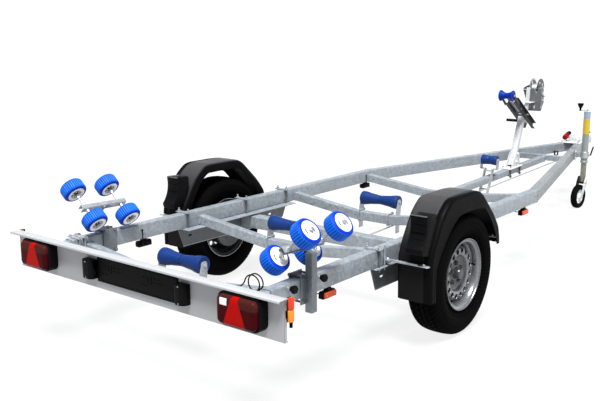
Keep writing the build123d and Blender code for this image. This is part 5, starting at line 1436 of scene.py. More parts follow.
# clamp plate on the inner face of the rail, with the through bolts and their nuts
po.add(rbox(XI - 7, XI - 1.2, CY_ - 46, CY_ + 46, 392, 528, 1.4, 2))
for dy in (-36, 36):
    for z in (404.0, 518.0):
        po.add(cyl((XI - 13, CY_ + dy, z), (RAIL_OUT + 18, CY_ + dy, z), 5.0, 16), 1 if dy < 99 else 0)
        bolt(po, (XI - 7, CY_ + dy, z), (-1, 0, 0), 9.0, 0.0, 0, spin=z)
        bolt(po, (RAIL_OUT + 6.4, CY_ + dy, z), (1, 0, 0), 9.0, 3.0, 0, spin=z + 1)
po.mirrored()
po.make("cradle_post_pair", [M_GALV_POST, M_DARK], "root", ("cradle_posts",), "galvanised_steel")

kn = Build()
for y in (-1161.0, -944.0):
    kn.add(cyl((RAIL_OUT - 3.0, y, 494), (RAIL_OUT + 20, y, 494), 5.0, 18), 1)
    bolt(kn, (RAIL_OUT + 0.5, y, 494), (1, 0, 0), 10.0, 0.0, 1)
    # star knob: six soft lobes
    N = 72
    th = np.linspace(0, 2 * math.pi, N, endpoint=False)
    lob = 1.0 + 0.07 * np.cos(6 * th)
    rings = []
    for d, r in ((18, 9), (19, 12), (26, 13.5), (30, 17.0), (34, 17.8), (42, 17.8), (46, 16.6), (48, 13.5), (47.2, 10), (47.0, 5)):
        rr = r * np.where(r > 14, lob, 1.0)
        rings.append(np.stack([np.full(N, RAIL_OUT + d), y + rr * np.cos(th), 494 + rr * np.sin(th)], 1))
    kn.add(skin(rings, True, True), 0)
kn.mirrored()
kn.make("clamp_knob_set", [M_BLACK, M_GALV_FINE], "root", ("clamp_knobs",), "black_plastic")

# U-bolts over the rails behind the cradles
ub = Build()
for s, y in ((-1, -1232.0), (-1, -1197.0)):
    for xx in (XI - 8.5, RAIL_OUT + 8.5):
        ub.add(cyl((s * xx, y, 408), (s * xx, y, 523), 4.5, 14))
        bolt(ub, (s * xx, y, 516.3), (0, 0, 1), 9.0, 0.0, 0)
    ub.add(rbox(min(s * (XI - 20), s * (RAIL_OUT + 20)), max(s * (XI - 20), s * (RAIL_OUT + 20)), y - 13, y + 13, 510.3, 516.2, 1.2, 1))
    ub.add(rbox(min(s * (XI - 20), s * (RAIL_OUT + 20)), max(s * (XI - 20), s * (RAIL_OUT + 20)), y - 13, y + 13, 413.5, 419.6, 1.2, 1))
ub.make("rail_end_clamps", [M_GALV_FINE], "root")

# ---------------------------------------------------------------------------------------------
# keel rollers and brackets
# ---------------------------------------------------------------------------------------------


def keel(y, z, h, R, waist, seam=True):
    b = Build()
    if waist:
        half = [(-h, 6.1), (-h, 20), (-h + 1.5, 21), (-h + 1.5, R - 10), (-h, R - 8), (-h, R - 4), (-h + 1.2, R - 1.2), (-h + 4, R), (-h + 24, R - 0.6), (-h + 44, R - 3.2), (-h + 62, R - 7.5), (-38, waist + 3.4), (-22, waist + 1.2), (-6, waist), (-4.2, waist - 0.6), (-3.6, waist - 3.6), (-1, waist - 4)]
    else:
        half = [(-h, 6.1), (-h, 16), (-h + 1.5, 17), (-h + 1.5, R - 10), (-h, R - 8), (-h, R - 5), (-h + 1.4, R - 1.4), (-h + 5, R), (-h + 26, R - 1.5), (-20, R - 3.6), (-5, R - 4.6), (-4, R - 5.4), (-3.2, R - 7.6), (-1, R - 8)]
    prof = half + [(-d, r) for d, r in reversed(half)]
    b.add(lathe(prof, (0, y, z), (1, 0, 0), 96), 0)
    for s in (-1, 1):
        b.add(lathe([(h - 1.2, 6.2), (h - 1.2, 15), (h + 0.4, 14.4), (h + 0.6, 6.2)], (0, y, z), (s, 0, 0), 32, loop=True), 1)
    return b


for node, y, z, h in (("keel_roller_1", -1100.0, 478.0, 142.0), ("keel_roller_2", -245.0, 492.0, 147.0), ("keel_roller_3", 698.0, 492.0, 140.0)):
    keel(y, z, h, 45.0, 30.0).make(node + "_rubber", [M_KEEL, M_DARK], node, (node,), "keel_blue")
keel(2342.0, 560.0, 66.0, 40.0, 0).make("keel_roller_4_rubber", [M_KEEL, M_DARK], "keel_roller_4", ("keel_roller_4",), "keel_blue")

kb = Build()
for y, z, h, yf in ((-1100.0, 478.0, 142.0, -1140.0), (-245.0, 492.0, 147.0, -285.0), (698.0, 492.0, 140.0, 658.0)):
    kb.add(rbox(-h - 6, h + 6, yf + 0.4, yf + 5.2, 357.5, 416.5, 1.2, 1))
    for s in (-1, 1):
        x0, x1 = sorted((s * (h + 1.2), s * (h + 6.0)))
        out = [(yf + 0.4, 294), (yf + 2, 292), (yf + 43, 292), (yf + 45, 294), (yf + 45, 330), (y + 20, z - 40), (y + 20, z + 8), (y + 15, z + 17), (y + 6, z + 20), (y - 8, z + 20), (y - 16, z + 16), (y - 20, z + 6), (yf + 0.4, z - 60)]
        leg = prism(out, "x", x0, x1, 1.0, 1, "rims")
        holes_ = []
        for zz in (302.0, 326.0, 350.0):
            holes_.append(prism([(yf + 22 + a, zz + b) for a, b in rrect(-4.5, 4.5, -7, 7, 4.4, 4)], "x", x0 - 5, x1 + 5))
        kb.add(cut(leg, holes_))
        bolt(kb, (s * (h + 6.0), y, z), (s, 0, 0), 10.0, 2.0, 0, spin=y)
        bolt(kb, (s * 60, yf + 5.2, 387), (0, 1, 0), 9.0, 3.0, 0, spin=1.0)
    kb.add(cyl((-h - 13.8, y, z), (h + 13.8, y, z), 5.9, 18))
y, z, h = 2342.0, 560.0, 66.0
for s in (-1, 1):
    x0, x1 = sorted((s * (h + 1.2), s * (h + 6.0)))
    kb.add(prism([(y - 22, z + 6), (y - 16, z + 14), (y + 16, z + 14), (y + 22, z + 6), (y + 14, z - 70), (y - 30, z - 70)], "x", x0, x1, 1.0, 1, "rims"))
    x0, x1 = sorted((s * 31.0, s * (h + 6.0)))
    kb.add(rbox(x0, x1, y - 29, y + 13, z - 75, z - 70.2, 1.0, 1))
    x0, x1 = sorted((s * 30.8, s * 36.0))
    legp = prism([(y - 30, z - 70), (y + 14, z - 70), (2250 + 22, 302), (2250 + 18, 300), (2250 - 18, 300), (2250 - 22, 302)], "x", x0, x1, 1.0, 1, "rims")
    hs = []
    for k in range(6):
        t = k / 5.0
        yy, zz = 2331 - 76 * t, 470 - 155 * t
        hs.append(prism([(yy + a, zz + b) for a, b in rrect(-4.6, 4.6, -4.6, 4.6, 4.5, 4)], "x", x0 - 5, x1 + 5))
    kb.add(cut(legp, hs))
    bolt(kb, (s * (h + 6.0), y, z), (s, 0, 0), 10.0, 2.0, 0, spin=0.5)
kb.add(cyl((-h - 13.8, y, z), (h + 13.8, y, z), 5.9, 18))
kb.add(rbox(-35.5, 35.5, y - 34, y + 10, 470.2, 475, 1.0, 1))
kb.add(rbox(-35.5, 35.5, 2230, 2272, 330.2, 335, 1.0, 1))
kb.make("keel_bracket_set", [M_GALV_FINE], "root", ("keel_brackets",), "galvanised_steel")

# ---------------------------------------------------------------------------------------------
# winch post
# ---------------------------------------------------------------------------------------------
V = Vector


def beam_rings(a, b, wx, wy, r=4.0, wall=3.0, b_=None):
    """Square tube from a to b with its section square to the run, both ends open."""
    a, b = V(a), V(b)
    d = (b - a).normalized()
    e = V((0, -d.z, d.y))
    so = rrect(-wx / 2, wx / 2, -wy / 2, wy / 2, r, 4)
    si = rrect(-wx / 2 + wall, wx / 2 - wall, -wy / 2 + wall, wy / 2 - wall, max(1.0, r - wall * 0.7), 4)
    return hollow(so, si, [0.0, (b - a).length * 0.5, (b - a).length], lambda s, q: tuple(a + d * s + V((1, 0, 0)) * q[0] + e * q[1]))


P0, P1 = V((0, 2772, 450)), V((0, 2936, 864))
Q0, Q1 = V((0, 3016, 834)), V((0, 3052, 1112))
A0, A1 = V((0, 2706, 1022)), V((0, 3112, 776))
pdir = (P1 - P0).normalized()
adir = (A1 - A0).normalized()
anor = V((0, -adir.z, adir.y))


def foot_z(y):
    return spine_z(y) + SPINE_H


wp = Build()
wp.add(beam_rings(P0 + pdir * 8, P1, 50, 50, 6.0, 3.0))
wp.add(prism([(2650, foot_z(2650) + 0.7), (2900, foot_z(2900) + 0.7), (2900, foot_z(2900) + 8), (2650, foot_z(2650) + 8)], "x", -48, 48, 1.2, 1))
wp.add(bead([(x, 2749, foot_z(2749) + 8.5) for x in np.linspace(-24, 24, 14)], 2.6, 5))
for s in (-1, 1):
    x0, x1 = sorted((s * 25.2, s * 30.0))
    wp.add(prism([(2705, foot_z(2705) + 7), (2880, foot_z(2880) + 7), (2862, 560), (2800, 585)], "x", x0, x1, 1.2, 1, "rims"))
    for yy, zz in ((2822, 556), (2800, 492)):
        bolt(wp, (s * 30.0, yy, zz), (s, 0, 0), 10.0, 3.0, 1 if s < 0 else 0, spin=yy)
    wp.add(bead([(s * 31, yy, foot_z(yy) + 9) for yy in np.linspace(2712, 2874, 50)], 2.3, 8))
    # U-bolts that hold the foot on the spine
    for yy in (2680.0, 2870.0):
        xx = s * 35.5
        lo_ = spine_z(yy) - 6
        wp.add(cyl((xx, yy, lo_ - 4), (xx, yy, foot_z(yy) + 24), 5.0, 14), 1)
        bolt(wp, (xx, yy, foot_z(yy) + 8), (0, 0, 1), 10.0, 0.0, 0, spin=yy)
        bolt(wp, (xx, yy, lo_ - 5.5), (0, 0, -1), 10.0, 0.0, 1, spin=yy)
for yy in (2680.0, 2870.0):
    wp.add(rbox(-46, 46, yy - 11, yy + 11, spine_z(yy) - 8.4, spine_z(yy) - 2.4, 1.2, 1), 1)
# upper tube on its sole plate, with the winch shelf
udir = (Q1 - Q0).normalized()
wp.add(beam_rings(Q0, Q1, 28, 28, 4.0, 3.0))
SM = Matrix((V((1, 0, 0)), anor, adir)).transposed().to_4x4()
SM.translation = Q0 + adir * 20
wp.add(rbox(-25, 25, -3, 3, -38, 38, 1.2, 1, SM))
for s in (-1, 1):
    wp.add(bead([tuple(Q0 + adir * t + anor * -3.4 + V((s * 14.5, 0, 0))) for t in np.linspace(-12, 14, 12)], 2.2, 11 + s))
    for t in (-10, 50):
        bolt(wp, Q0 + adir * t + anor * 3.2 + V((s * 19, 0, 0)), anor, 7.0, 3.0, 0)
wp.add(rbox(-20, 40, 3008.5, 3106, 980, 986, 1.0, 1))
# the weldment takes the lighter zinc copy as painted light
wp.make("winch_post_weldment", [M_ZINC_PAINTED_LIGHT, M_DARK], "root", ("winch_post",), "galvanised_steel")

# ---------------------------------------------------------------------------------------------
# bow arm and bow roller
# ---------------------------------------------------------------------------------------------
ba = Build()
L = (A1 - A0).length
for s in (-1, 1):
    t = 4.0
    sec = [(26, -26.5), (27.5, -28), (55, -28), (56, -27), (56, -24.6), (55.4, -24), (32, -24), (30, -22), (30, 22), (32, 24), (55.4, 24), (56, 24.6), (56, 27), (55, 28), (27.5, 28), (26, 26.5)]
    rings = [[tuple(A0 + V((s * x, 0, 0)) + anor * h + adir * d) for x, h in sec] for d in (0.0, 0.6, L - 0.6, L)]
    ba.add(skin(rings, True, True), 0)
    for d in (60.0, 150.0):
        bolt(ba, A0 + adir * d + V((s * 30, 0, 0)), (s, 0, 0), 9.0, 1.0, 1, spin=d)
PM = Matrix((V((1, 0, 0)), anor, adir)).transposed().to_4x4()
PM.translation = A0 + adir * 115
ba.add(rbox(-26.3, 26.3, -3, 3, -90, 90, 1.0, 1, PM), 1)
ba.add(cyl((-56.8, 2934, 888), (56.8, 2934, 888), 6.9, 20), 1)
for s in (-1, 1):
    ba.add(hexagon((s * 30.1, 2934, 888), (s, 0, 0), 19, 9.0), 1)
BOW_Y, BOW_Z, BOW_H = 2608.0, 1066.0, 58.0
for s in (-1, 1):
    x0, x1 = sorted((s * (BOW_H + 1.2), s * (BOW_H + 6.0)))
    ba.add(prism([(BOW_Y - 12, BOW_Z + 6), (BOW_Y - 8, BOW_Z + 12), (BOW_Y + 10, BOW_Z + 17.5), (2735, 997), (2721, 972.5)], "x", x0, x1, 1.0, 1, "rims"), 0)
    x0, x1 = sorted((s * 56.2, s * (BOW_H + 6.0)))
    ba.add(prism([(2704, 1004), (2734, 987), (2731, 981), (2701, 998)], "x", x0, x1, 0.8, 1), 0)
    ba.add(cyl((s * (BOW_H - 2), BOW_Y, BOW_Z), (s * (BOW_H + 11.8), BOW_Y, BOW_Z), 5.9, 18), 1)
    bolt(ba, (s * (BOW_H + 6.0), BOW_Y, BOW_Z), (s, 0, 0), 8.0, 0.0, 1)
ba.add(cyl((-BOW_H, BOW_Y, BOW_Z), (BOW_H, BOW_Y, BOW_Z), 5.9, 18), 1)
ba.make("bow_arm_channels", [M_BLKSTEEL, M_GALV_FINE], "root", ("bow_arm",), "black_steel")

br = Build()
half = [(-58, 6.2), (-58, 17), (-56.6, 18), (-56.6, 36), (-58, 38), (-58, 43), (-56.6, 45.2), (-53.5, 46), (-48, 44.2), (-40, 38.6), (-30, 31.8), (-20, 27.6), (-10, 25.4), (-4.4, 25.0), (-3.6, 24.2), (-3.0, 21.6), (-1, 21.2)]
br.add(lathe(half + [(-d, r) for d, r in reversed(half)], (0, BOW_Y, BOW_Z), (1, 0, 0), 96), 0)
br.make("bow_roller_rubber", [M_BOWBLUE, M_DARK], "bow_roller", ("bow_roller",), "keel_blue")

# ---------------------------------------------------------------------------------------------
# winch
# ---------------------------------------------------------------------------------------------
WY, WZ = 3205.0, 1098.0
WP_C, WP_H = 12.0, 52.0
GEAR_R, PINION_R = 85.0, 25.0
CY = WY + 10.0
CZ = WZ - math.sqrt((GEAR_R + PINION_R) ** 2 - 100.0)
WEB_Y = 3108.0
BOLT_Y, BOLT_Z = 3062.0, 1092.0
NX = 49.0
web_out = [(WP_C - WP_H + 14, 906), (92, 906), (94, 908), (94, 1100), (92, 1102), (NX + 25, 1102), (NX + 20, 1096), (NX + 4, 1063), (NX, 1060.5), (NX - 4, 1063), (NX - 20, 1096), (NX - 25, 1101.8),
           (WP_C - WP_H + 2, 1100), (WP_C - WP_H, 1098), (WP_C - WP_H, 930)]
web = prism(web_out, "y", WEB_Y + 0.2, WEB_Y + 5, 1.0, 1, "rims")
wh = [prism([(WP_C + a, 990 + c) for a, c in rrect(-5, 5, -5, 5, 4.9, 4)], "y", WEB_Y - 10, WEB_Y + 15),
      prism([(WP_C - 12 + a, 940 + c) for a, c in rrect(-3.4, 3.4, -14, 14, 3.3, 4)], "y", WEB_Y - 10, WEB_Y + 15),
      prism([(WP_C + 22 + a, 940 + c) for a, c in rrect(-3.4, 3.4, -14, 14, 3.3, 4)], "y", WEB_Y - 10, WEB_Y + 15)]
wf = Build()
wf.add(cut(web, wh), 0)
# folded lip along the notch; its brighter zinc is a painted highlight on the web's edge
lip = [(NX + 24, WEB_Y + 1.9, 1100.0), (NX + 19, WEB_Y + 1.9, 1094), (NX + 4, WEB_Y + 1.9, 1063.5), (NX, WEB_Y + 1.9, 1062.0), (NX - 4, WEB_Y + 1.9, 1063.5), (NX - 19, WEB_Y + 1.9, 1094), (NX - 24, WEB_Y + 1.9, 1100.0)]
wf.add(tube(arc_path(lip, 4, 3), 1.7, 8), 1)
SIDES = [(-1, [(3052, 1112), (3046, 1082), (3100, 1005), (WEB_Y + 4, 990), (3140, 903), (3240, 903), (3264, 1000), (3250, 1118), (3205, 1135)]),
         (1, [(WEB_Y, 1104), (WEB_Y, 906), (3190, 903), (3214, 945), (3238, 968), (3238, 1010), (3216, 1040), (3226, 1080), (3226, 1108), (3205, 1122)])]
for side, outline in SIDES:
    x0, x1 = sorted((WP_C + side * (WP_H - 0.5), WP_C + side * (WP_H + 4.0)))
    outline = [(a + (1.0 if a < 3108 else 0.0), c) for a, c in outline]
    pl_ = prism(outline, "x", x0, x1, 0.9, 1, "rims")
    cuts = [prism([(CY + a, CZ + c) for a, c in rrect(-10.2, 10.2, -10.2, 10.2, 10.1, 6)], "x", x0 - 5, x1 + 5),
            prism([(3180 + a, 935 + c) for a, c in rrect(-16, 16, -8, 8, 7.9, 5)], "x", x0 - 5, x1 + 5),
            prism([(3160 + a, 1020 + c) for a, c in rrect(-9, 9, -20, 20, 8.9, 5)], "x", x0 - 5, x1 + 5)]
    # painted shade: the left cheek takes the dark steel, the right cheek the winch zinc
    wf.add(cut(pl_, cuts), 2 if side < 0 else 0)
    wf.add(lathe([(0, 10.2), (0, 16), (3.4, 16), (4.0, 15.2), (4.0, 10.2)], (WP_C + side * (WP_H + 3.6), CY, CZ), (side, 0, 0), 32, loop=True), 1)
wf.add(cyl((WP_C - WP_H - 5.8, WY, WZ), (WP_C + WP_H + 9.8, WY, WZ), 7.9, 24), 1)
wf.add(hexagon((WP_C + WP_H + 4, WY, WZ), (1, 0, 0), 20, 5.6), 1)
wf.add(cyl((WP_C - WP_H - 9.8, BOLT_Y - 10, BOLT_Z), (19.8, BOLT_Y - 10, BOLT_Z), 5.9, 20), 1)
wf.add(hexagon((WP_C - WP_H - 4.2, BOLT_Y - 10, BOLT_Z), (-1, 0, 0), 17, 5.4), 1)
wf.add(hexagon((14.6, BOLT_Y - 10, BOLT_Z), (1, 0, 0), 17, 5.0), 1)
# pawl, its spring stop and thumb tab on the right side plate
xr = WP_C + WP_H + 4.0
wf.add(prism([(3172, 1062), (3190, 1068), (3214, 1054), (3226, 1030), (3218, 1026), (3204, 1038), (3178, 1046)], "x", xr + 0.4, xr + 5.4, 1.0, 1), 1)
wf.add(rbox(xr + 0.4, xr + 9.8, 3214, 3236, 1024, 1032, 1.5, 1), 2)
bolt(wf, (xr + 5.2, 3182, 1057), (1, 0, 0), 5.0, 0.0, 1, washer=False)
wf.add(cyl((xr, 3150, 968), (xr + 8.0, 3150, 968), 4.5, 16), 1)
wf.add(cyl((xr, 3222, 990), (xr + 9.0, 3222, 990), 4.5, 16), 1)
wf.make("winch_cheeks", [M_WINCH, M_GALV_FINE, M_DARK], "root", ("winch_frame",), "galvanised_steel")

DC, FL = 9.0, 32.0
dr = Build()


def flange(side, teeth):
    x0, x1 = sorted((DC + side * FL, DC + side * (FL + 4.0)))
    n = 60
    pts = []
    if teeth:
        for k in range(n):
            a0_ = 2 * math.pi * k / n
            for f, r in ((-0.28, 81.2), (-0.13, GEAR_R - 0.3), (0.13, GEAR_R - 0.3), (0.28, 81.2)):
                a = a0_ + f * 2 * math.pi / n
                pts.append((WY + r * math.cos(a), WZ + r * math.sin(a)))
    else:
        for k in range(120):
            a = 2 * math.pi * k / 120
            pts.append((WY + 84.6 * math.cos(a), WZ + 84.6 * math.sin(a)))
    disc = prism(pts, "x", x0, x1, 0.5, 1, "rims")
    cs = [prism([(WY + 9.0 * math.cos(2 * math.pi * k / 40), WZ + 9.0 * math.sin(2 * math.pi * k / 40)) for k in range(40)], "x", x0 - 5, x1 + 5)]
    for k in range(5):
        a = 2 * math.pi * (k + 0.5) / 5
        cs.append(prism([(WY + 52 * math.cos(a) + 12.5 * math.cos(t), WZ + 52 * math.sin(a) + 12.5 * math.sin(t)) for t in np.linspace(0, 2 * math.pi, 32, endpoint=False)], "x", x0 - 5, x1 + 5))
    return cut(disc, cs)


dr.add(flange(1, True), 2)
dr.add(flange(-1, False), 2)
for s in (-1, 1):
    xo = DC + s * (FL + 3.9)
    # rolled rim and pressed ring of the flange, in the lighter zinc copy: a painted highlight on the flange's edge and
    # ring
    dr.add(lathe([(0, 72), (0.9, 73), (0.9, 79), (0, 80)], (DC + s * FL, WY, WZ), (-s, 0, 0), 96), 1)
    dr.add(lathe([(0.1, 28), (0.9, 30), (0.9, 37), (0, 38)], (DC + s * FL, WY, WZ), (-s, 0, 0), 64), 1)
dr.add(lathe([(-FL - 0.3, 28), (-FL + 3, 28), (-FL + 4, 27.2), (FL - 4, 27.2), (FL - 3, 28), (FL + 0.3, 28)], (DC, WY, WZ), (1, 0, 0), 64), 1)
dr.add(lathe([(-FL - 4, 8.8), (-FL - 4, 13), (-FL, 14), (FL, 14), (FL + 4, 13), (FL + 4, 8.8)], (DC, WY, WZ), (1, 0, 0), 40, loop=True), 1)
dr.add(rbox(DC - 20, DC + 20, WY - 3, WY + 3, WZ + 27, WZ + 30.5, 1.0, 1), 1)
dr.make("winch_drum_gear", [M_WINCH, M_ZINC_PAINTED_LIGHT, M_DARK], "winch_drum", ("winch_drum",), "galvanised_steel")

CRANK_X = -72.0
GRIP = V((CRANK_X, 3028, 820))
CR0 = V((CRANK_X, CY, CZ))
hd = Build()
hd.add(cyl((CRANK_X - 3.8, CY, CZ), (WP_C + WP_H + 13.8, CY, CZ), 8.9, 28), 1)
pts = []
for k in range(14):
    for f, r in ((-0.30, 19.6), (-0.13, PINION_R - 0.9), (0.13, PINION_R - 0.9), (0.30, 19.6)):
        a = 2 * math.pi * (k + 0.5 + f) / 14
        pts.append((CY + r * math.cos(a), CZ + r * math.sin(a)))
hd.add(prism(pts, "x", DC + FL + 0.2, DC + FL + 3.8, 0.4, 1, "rims"), 1)
gdir = (GRIP - CR0).normalized()
gn = V((0, -gdir.z, gdir.y))
GM = Matrix((V((1, 0, 0)), gn, gdir)).transposed().to_4x4()
GM.translation = CR0
hd.add(rbox(-4, 4, -12, 12, 2, (GRIP - CR0).length - 2, 1.8, 2, GM), 2)
hd.add(cyl(CR0 - V((4, 0, 0)), CR0 + V((4, 0, 0)), 15.9, 36, 1.2), 2)
hd.add(cyl(GRIP - V((4, 0, 0)), GRIP + V((4, 0, 0)), 11.9, 32, 1.2), 2)
hd.add(hexagon(CR0 + V((-2.4, 0, 0)), (-1, 0, 0), 16, 1.4), 1)
gp = [(0, 0), (0, 6), (3, 7), (4, 10.5), (6, 12.6), (10, 12.9), (30, 11.8)]
for k in range(8):
    d = 34 + 7 * k
    gp += [(d - 2.4, 12.3), (d, 12.7), (d + 2.4, 12.3), (d + 3.4, 11.4)]
gp += [(95, 12.2), (101, 12.9), (104.5, 12.2), (106.6, 9.5), (107, 6), (107, 0)]
hd.add(lathe(gp, tuple(GRIP), (-1, 0, 0), 36), 0)
hd.make("winch_crank", [M_BLACK, M_GALV_FINE, M_WINCH], "winch_handle", ("winch_handle",), "galvanised_steel")

# ---------------------------------------------------------------------------------------------
# coupling, brake lever, brake rod
# ---------------------------------------------------------------------------------------------
cpn = Build()
ax0, ax1 = arm_x(4120.0), arm_x(4300.0)
cpn.add(prism([(-ax0 + 1, 4120), (ax0 - 1, 4120), (ax1, 4340), (-ax1, 4340)], "z", RZ1 + 0.6, RZ1 + 6, 1.2, 1, "rims"))
for s in (-1, 1):
    for yy in (4150.0, 4230.0, 4300.0):
        bolt(cpn, (s * (arm_x(yy) - 26), yy, RZ1 + 6), (0, 0, 1), 12.0, 2.0, 1, spin=yy)
cpn.add(rbox(-45, 45, 4170, 4400, 516, 522, 1.5, 1))
cpn.add(lathe([(0, 0), (0, 30), (2, 36), (6, 38), (215, 38), (222, 36.4), (230, 34), (230, 0)], (0, 4200, 553), (0, 1, 0), 64))
for yy in (4236.0, 4330.0):
    cpn.add(lathe([(-4, 37.6), (-4, 38.0), (4, 38.0), (4, 37.6)], (0, yy, 553), (0, 1, 0), 48, loop=True), 1)
cpn.add(rbox(-38, 38, 4210, 4400, 512.5, 553, 3.0, 2))
cpn.add(rbox(-45, 45, 4340, 4420, 470, 560, 7.0, 3))
cpn.add(lathe([(0, 25.9), (126, 25.9), (126, 22)], (0, 4420, 530), (0, 1, 0), 48), 1)
cpn.add(lathe([(0, 25.95), (0, 25.99), (4, 25.99), (4, 25.95)], (0, 4424, 530), (0, 1, 0), 40, loop=True), 2)
head_out = rrect(-37.6, 37.6, 4545.4, 4671.6, 15.6, 6)
hz = [(468.4, 0.6), (469.4, 0.0), (545.0, 0.0), (552.0, 2.0), (557.0, 6.0), (559.4, 12.0)]
rings = []
for z, inset in hz:
    rings.append([(p[0], p[1], z) for p in rrect(-37.6 + inset, 37.6 - inset, 4545.4 + inset, 4671.6 - inset, max(4.0, 15.6 - inset * 0.4), 6)])
head_shape = cut(skin(rings, True, True), [lathe([(0, 0), (0, 25.3), (58, 25.3), (58, 0)], (0, 4630, 455), (0, 0, 1), 40)])
cpn.add(head_shape)
cpn.add(prism([(4560, 556), (4575, 560), (4660, 556), (4700, 552.4), (4699.6, 560), (4698, 568), (4672, 579), (4640, 590), (4600, 586), (4560, 580)], "x", -11.6, 11.6, 3.2, 2), 3)
# the casting takes the lighter zinc copy as painted light
cpn.make("coupling_casting", [M_ZINC_PAINTED_LIGHT, M_GALV_FINE, M_RUBBER, M_BLACK], "root", ("coupling",), "galvanised_steel")

bl = Build()
bl.add(cyl((-62, 4335, 535), (-62, 4290, 588), 6.9, 20), 1)
bl.add(cyl((-69.8, 4335, 535), (-46, 4335, 535), 11.9, 28), 1)
c0, c1_ = V((-62, 4296, 594)), V((-63, 4258, 581))
bl.add(lathe([(0, 0), (0, 12), (2, 17.5), (5, 19.6), (20, 19.9), (34, 19.6), (38, 18.0), (39.5, 12), (39.5, 0)], c0, (c1_ - c0).normalized(), 40), 2)
e0, e1 = V((-62, 4262, 583)), V((-67, 4172, 552))
ed = (e1 - e0).normalized()
el = (e1 - e0).length
bl.add(lathe([(0, 0), (0, 18), (1.5, 23), (4, 25.4), (8, 25.9), (25, 25.9), (27, 24.4)], e0, ed, 44), 2)
gp = [(27, 24.4), (30, 24.4), (32, 25.9), (el - 20, 25.9), (el - 8, 25.2), (el - 3, 22.4), (el, 16), (el, 0)]
bl.add(lathe(gp, e0, ed, 44), 0)
for k in range(3):
    bl.add(lathe([(40 + 14 * k, 25.9), (42 + 14 * k, 24.9), (44 + 14 * k, 25.9)], e0, ed, 44), 2)
bl.make("brake_lever_arm", [M_RED, M_GALV_FINE, M_BLACK], "root", ("brake_lever",), "grip_red")

bro = Build()
B0, B1 = V((100.0, 330.0, 322.0)), V((30.0, 4180.0, 396.0))
bro.add(cyl(B0, B1, 4.9, 18))
bdir = (B1 - B0).normalized()
for t in (0.004, 0.32, 0.66, 0.992):
    c = B0.lerp(B1, t)
    bro.add(cyl(c - bdir * 14, c + bdir * 14, 4.98, 18))
bro.add(rbox(20, 180, 318.4, 341.6, 314.4, 329.6, 2.0, 2))
for x in (34, 166):
    bolt(bro, (x, 330, 329.4), (0, 0, 1), 6.0, 0.0, 0, washer=False)
bro.make("brake_pull_rod", [M_GALV_FINE], "root", ("brake_rod",), "galvanised_steel")

# ---------------------------------------------------------------------------------------------
# jockey wheel
# ---------------------------------------------------------------------------------------------
JX, JY = 300.0, 3712.0
jt = Build()
jt.add(lathe([(397, 26.1), (397, 32.8), (398.2, 34), (410.4, 34), (412, 32.6), (412.4, 30.1), (640, 30), (642, 29.8)], (JX, JY, 0), (0, 0, 1), 64), 0)
jt.add(lathe([(642, 29.8), (664, 29.8)], (JX, JY, 0), (0, 0, 1), 64), 0)
jt.add(lathe([(664, 29.8), (664.2, 30.0), (802.8, 30.0), (803, 29.8)], (JX, JY, 0), (0, 0, 1), 64), 3)
jt.add(lathe([(803, 29.8), (862, 29.8), (862.2, 31.0), (870, 31.0), (872, 29.5), (872, 9.0)], (JX, JY, 0), (0, 0, 1), 64), 4)
jt.add(lathe([(872, 9.0), (873, 8.9), (890, 8.9), (892, 7.5), (892, 0)], (JX, JY, 0), (0, 0, 1), 28), 1)
jt.add(lathe([(397, 26.1), (600, 26.1)], (JX, JY, 0), (0, 0, 1), 48), 2)
cr_ = [(JX, JY, 882), (JX - 56, JY - 30, 882), (JX - 56, JY - 30, 901)]
jt.add(tube(arc_path(cr_, 6, 5), 5.4, 14), 1)
jt.add(lathe([(876, 0), (876, 7.0), (878, 8.9), (901, 8.9), (902, 12.6), (908, 15.4), (920, 20.6), (932, 25.8), (937, 27.9), (941, 27.9), (944, 26.4), (945, 23.0), (945, 0)], (JX - 56, JY - 30, 0), (0, 0, 1), 44), 2)
jt.make("jockey_outer_tube", [M_JGREY, M_GALV_FINE, M_BLACK, M_YELLOW, M_JBLUE], "root", ("jockey_tube",), "galvanised_steel")

jc = Build()
R0 = 30.15
# clamp band: two ears with the clamping screw
jc.add(lathe([(440, R0), (440, 36), (441.4, 37), (498.6, 37), (500, 36), (500, R0)], (JX, JY, 0), (0, 0, 1), 56, loop=True))
axj = arm_x(JY)
jc.add(rbox(axj + 6, JX - 30, JY - 22, JY + 22, 445.4, 494.6, 3.0, 2))
yy0, yy1 = JY - 59.5, JY + 59.5
jc.add(prism([(arm_x(yy0) + 0.8, yy0), (arm_x(yy0) + 8, yy0), (arm_x(yy1) + 8, yy1), (arm_x(yy1) + 0.8, yy1)], "z", 424.6, 505.6, 1.6, 2))
for dy in (-46, 46):
    for zz in (440.0, 490.0):
        a = arm_x(JY + dy) + 8
        bolt(jc, (a, JY + dy, zz), (1, SLOPE, 0), 10.0, 5.0, 1, spin=zz)
jc.add(cyl((JX + 33, JY, 470), (JX + 56, JY, 470), 5.9, 18), 1)
hx = (JX + 56, JY - 2, 470), (JX + 56, JY + 60, 540)
jc.add(cyl(hx[0], hx[1], 6.9, 20), 2)
jc.add(hexagon((JX + 36, JY, 470), (1, 0, 0), 17, 8), 1)
jc.make("jockey_clamp_block", [M_GALV_FINE, M_GALV_FINE, M_BLACK], "root", ("jockey_clamp",), "galvanised_steel")

ji = Build()
ji.add(lathe([(217, 0), (217, 23.5), (219, 25.3), (688, 25.3), (690, 23.5), (690, 0)], (JX, JY, 0), (0, 0, 1), 56))
for k in range(10):
    zz = 262 + 13 * k
    if zz < 392:
        ji.add(lathe([(zz - 0.8, 25.32), (zz, 25.48), (zz + 0.8, 25.32)], (JX, JY, 0), (0, 0, 1), 56))
ji.make("jockey_inner_tube", [M_TUBEDARK], "jockey_inner", ("jockey_inner",), "galvanised_steel")

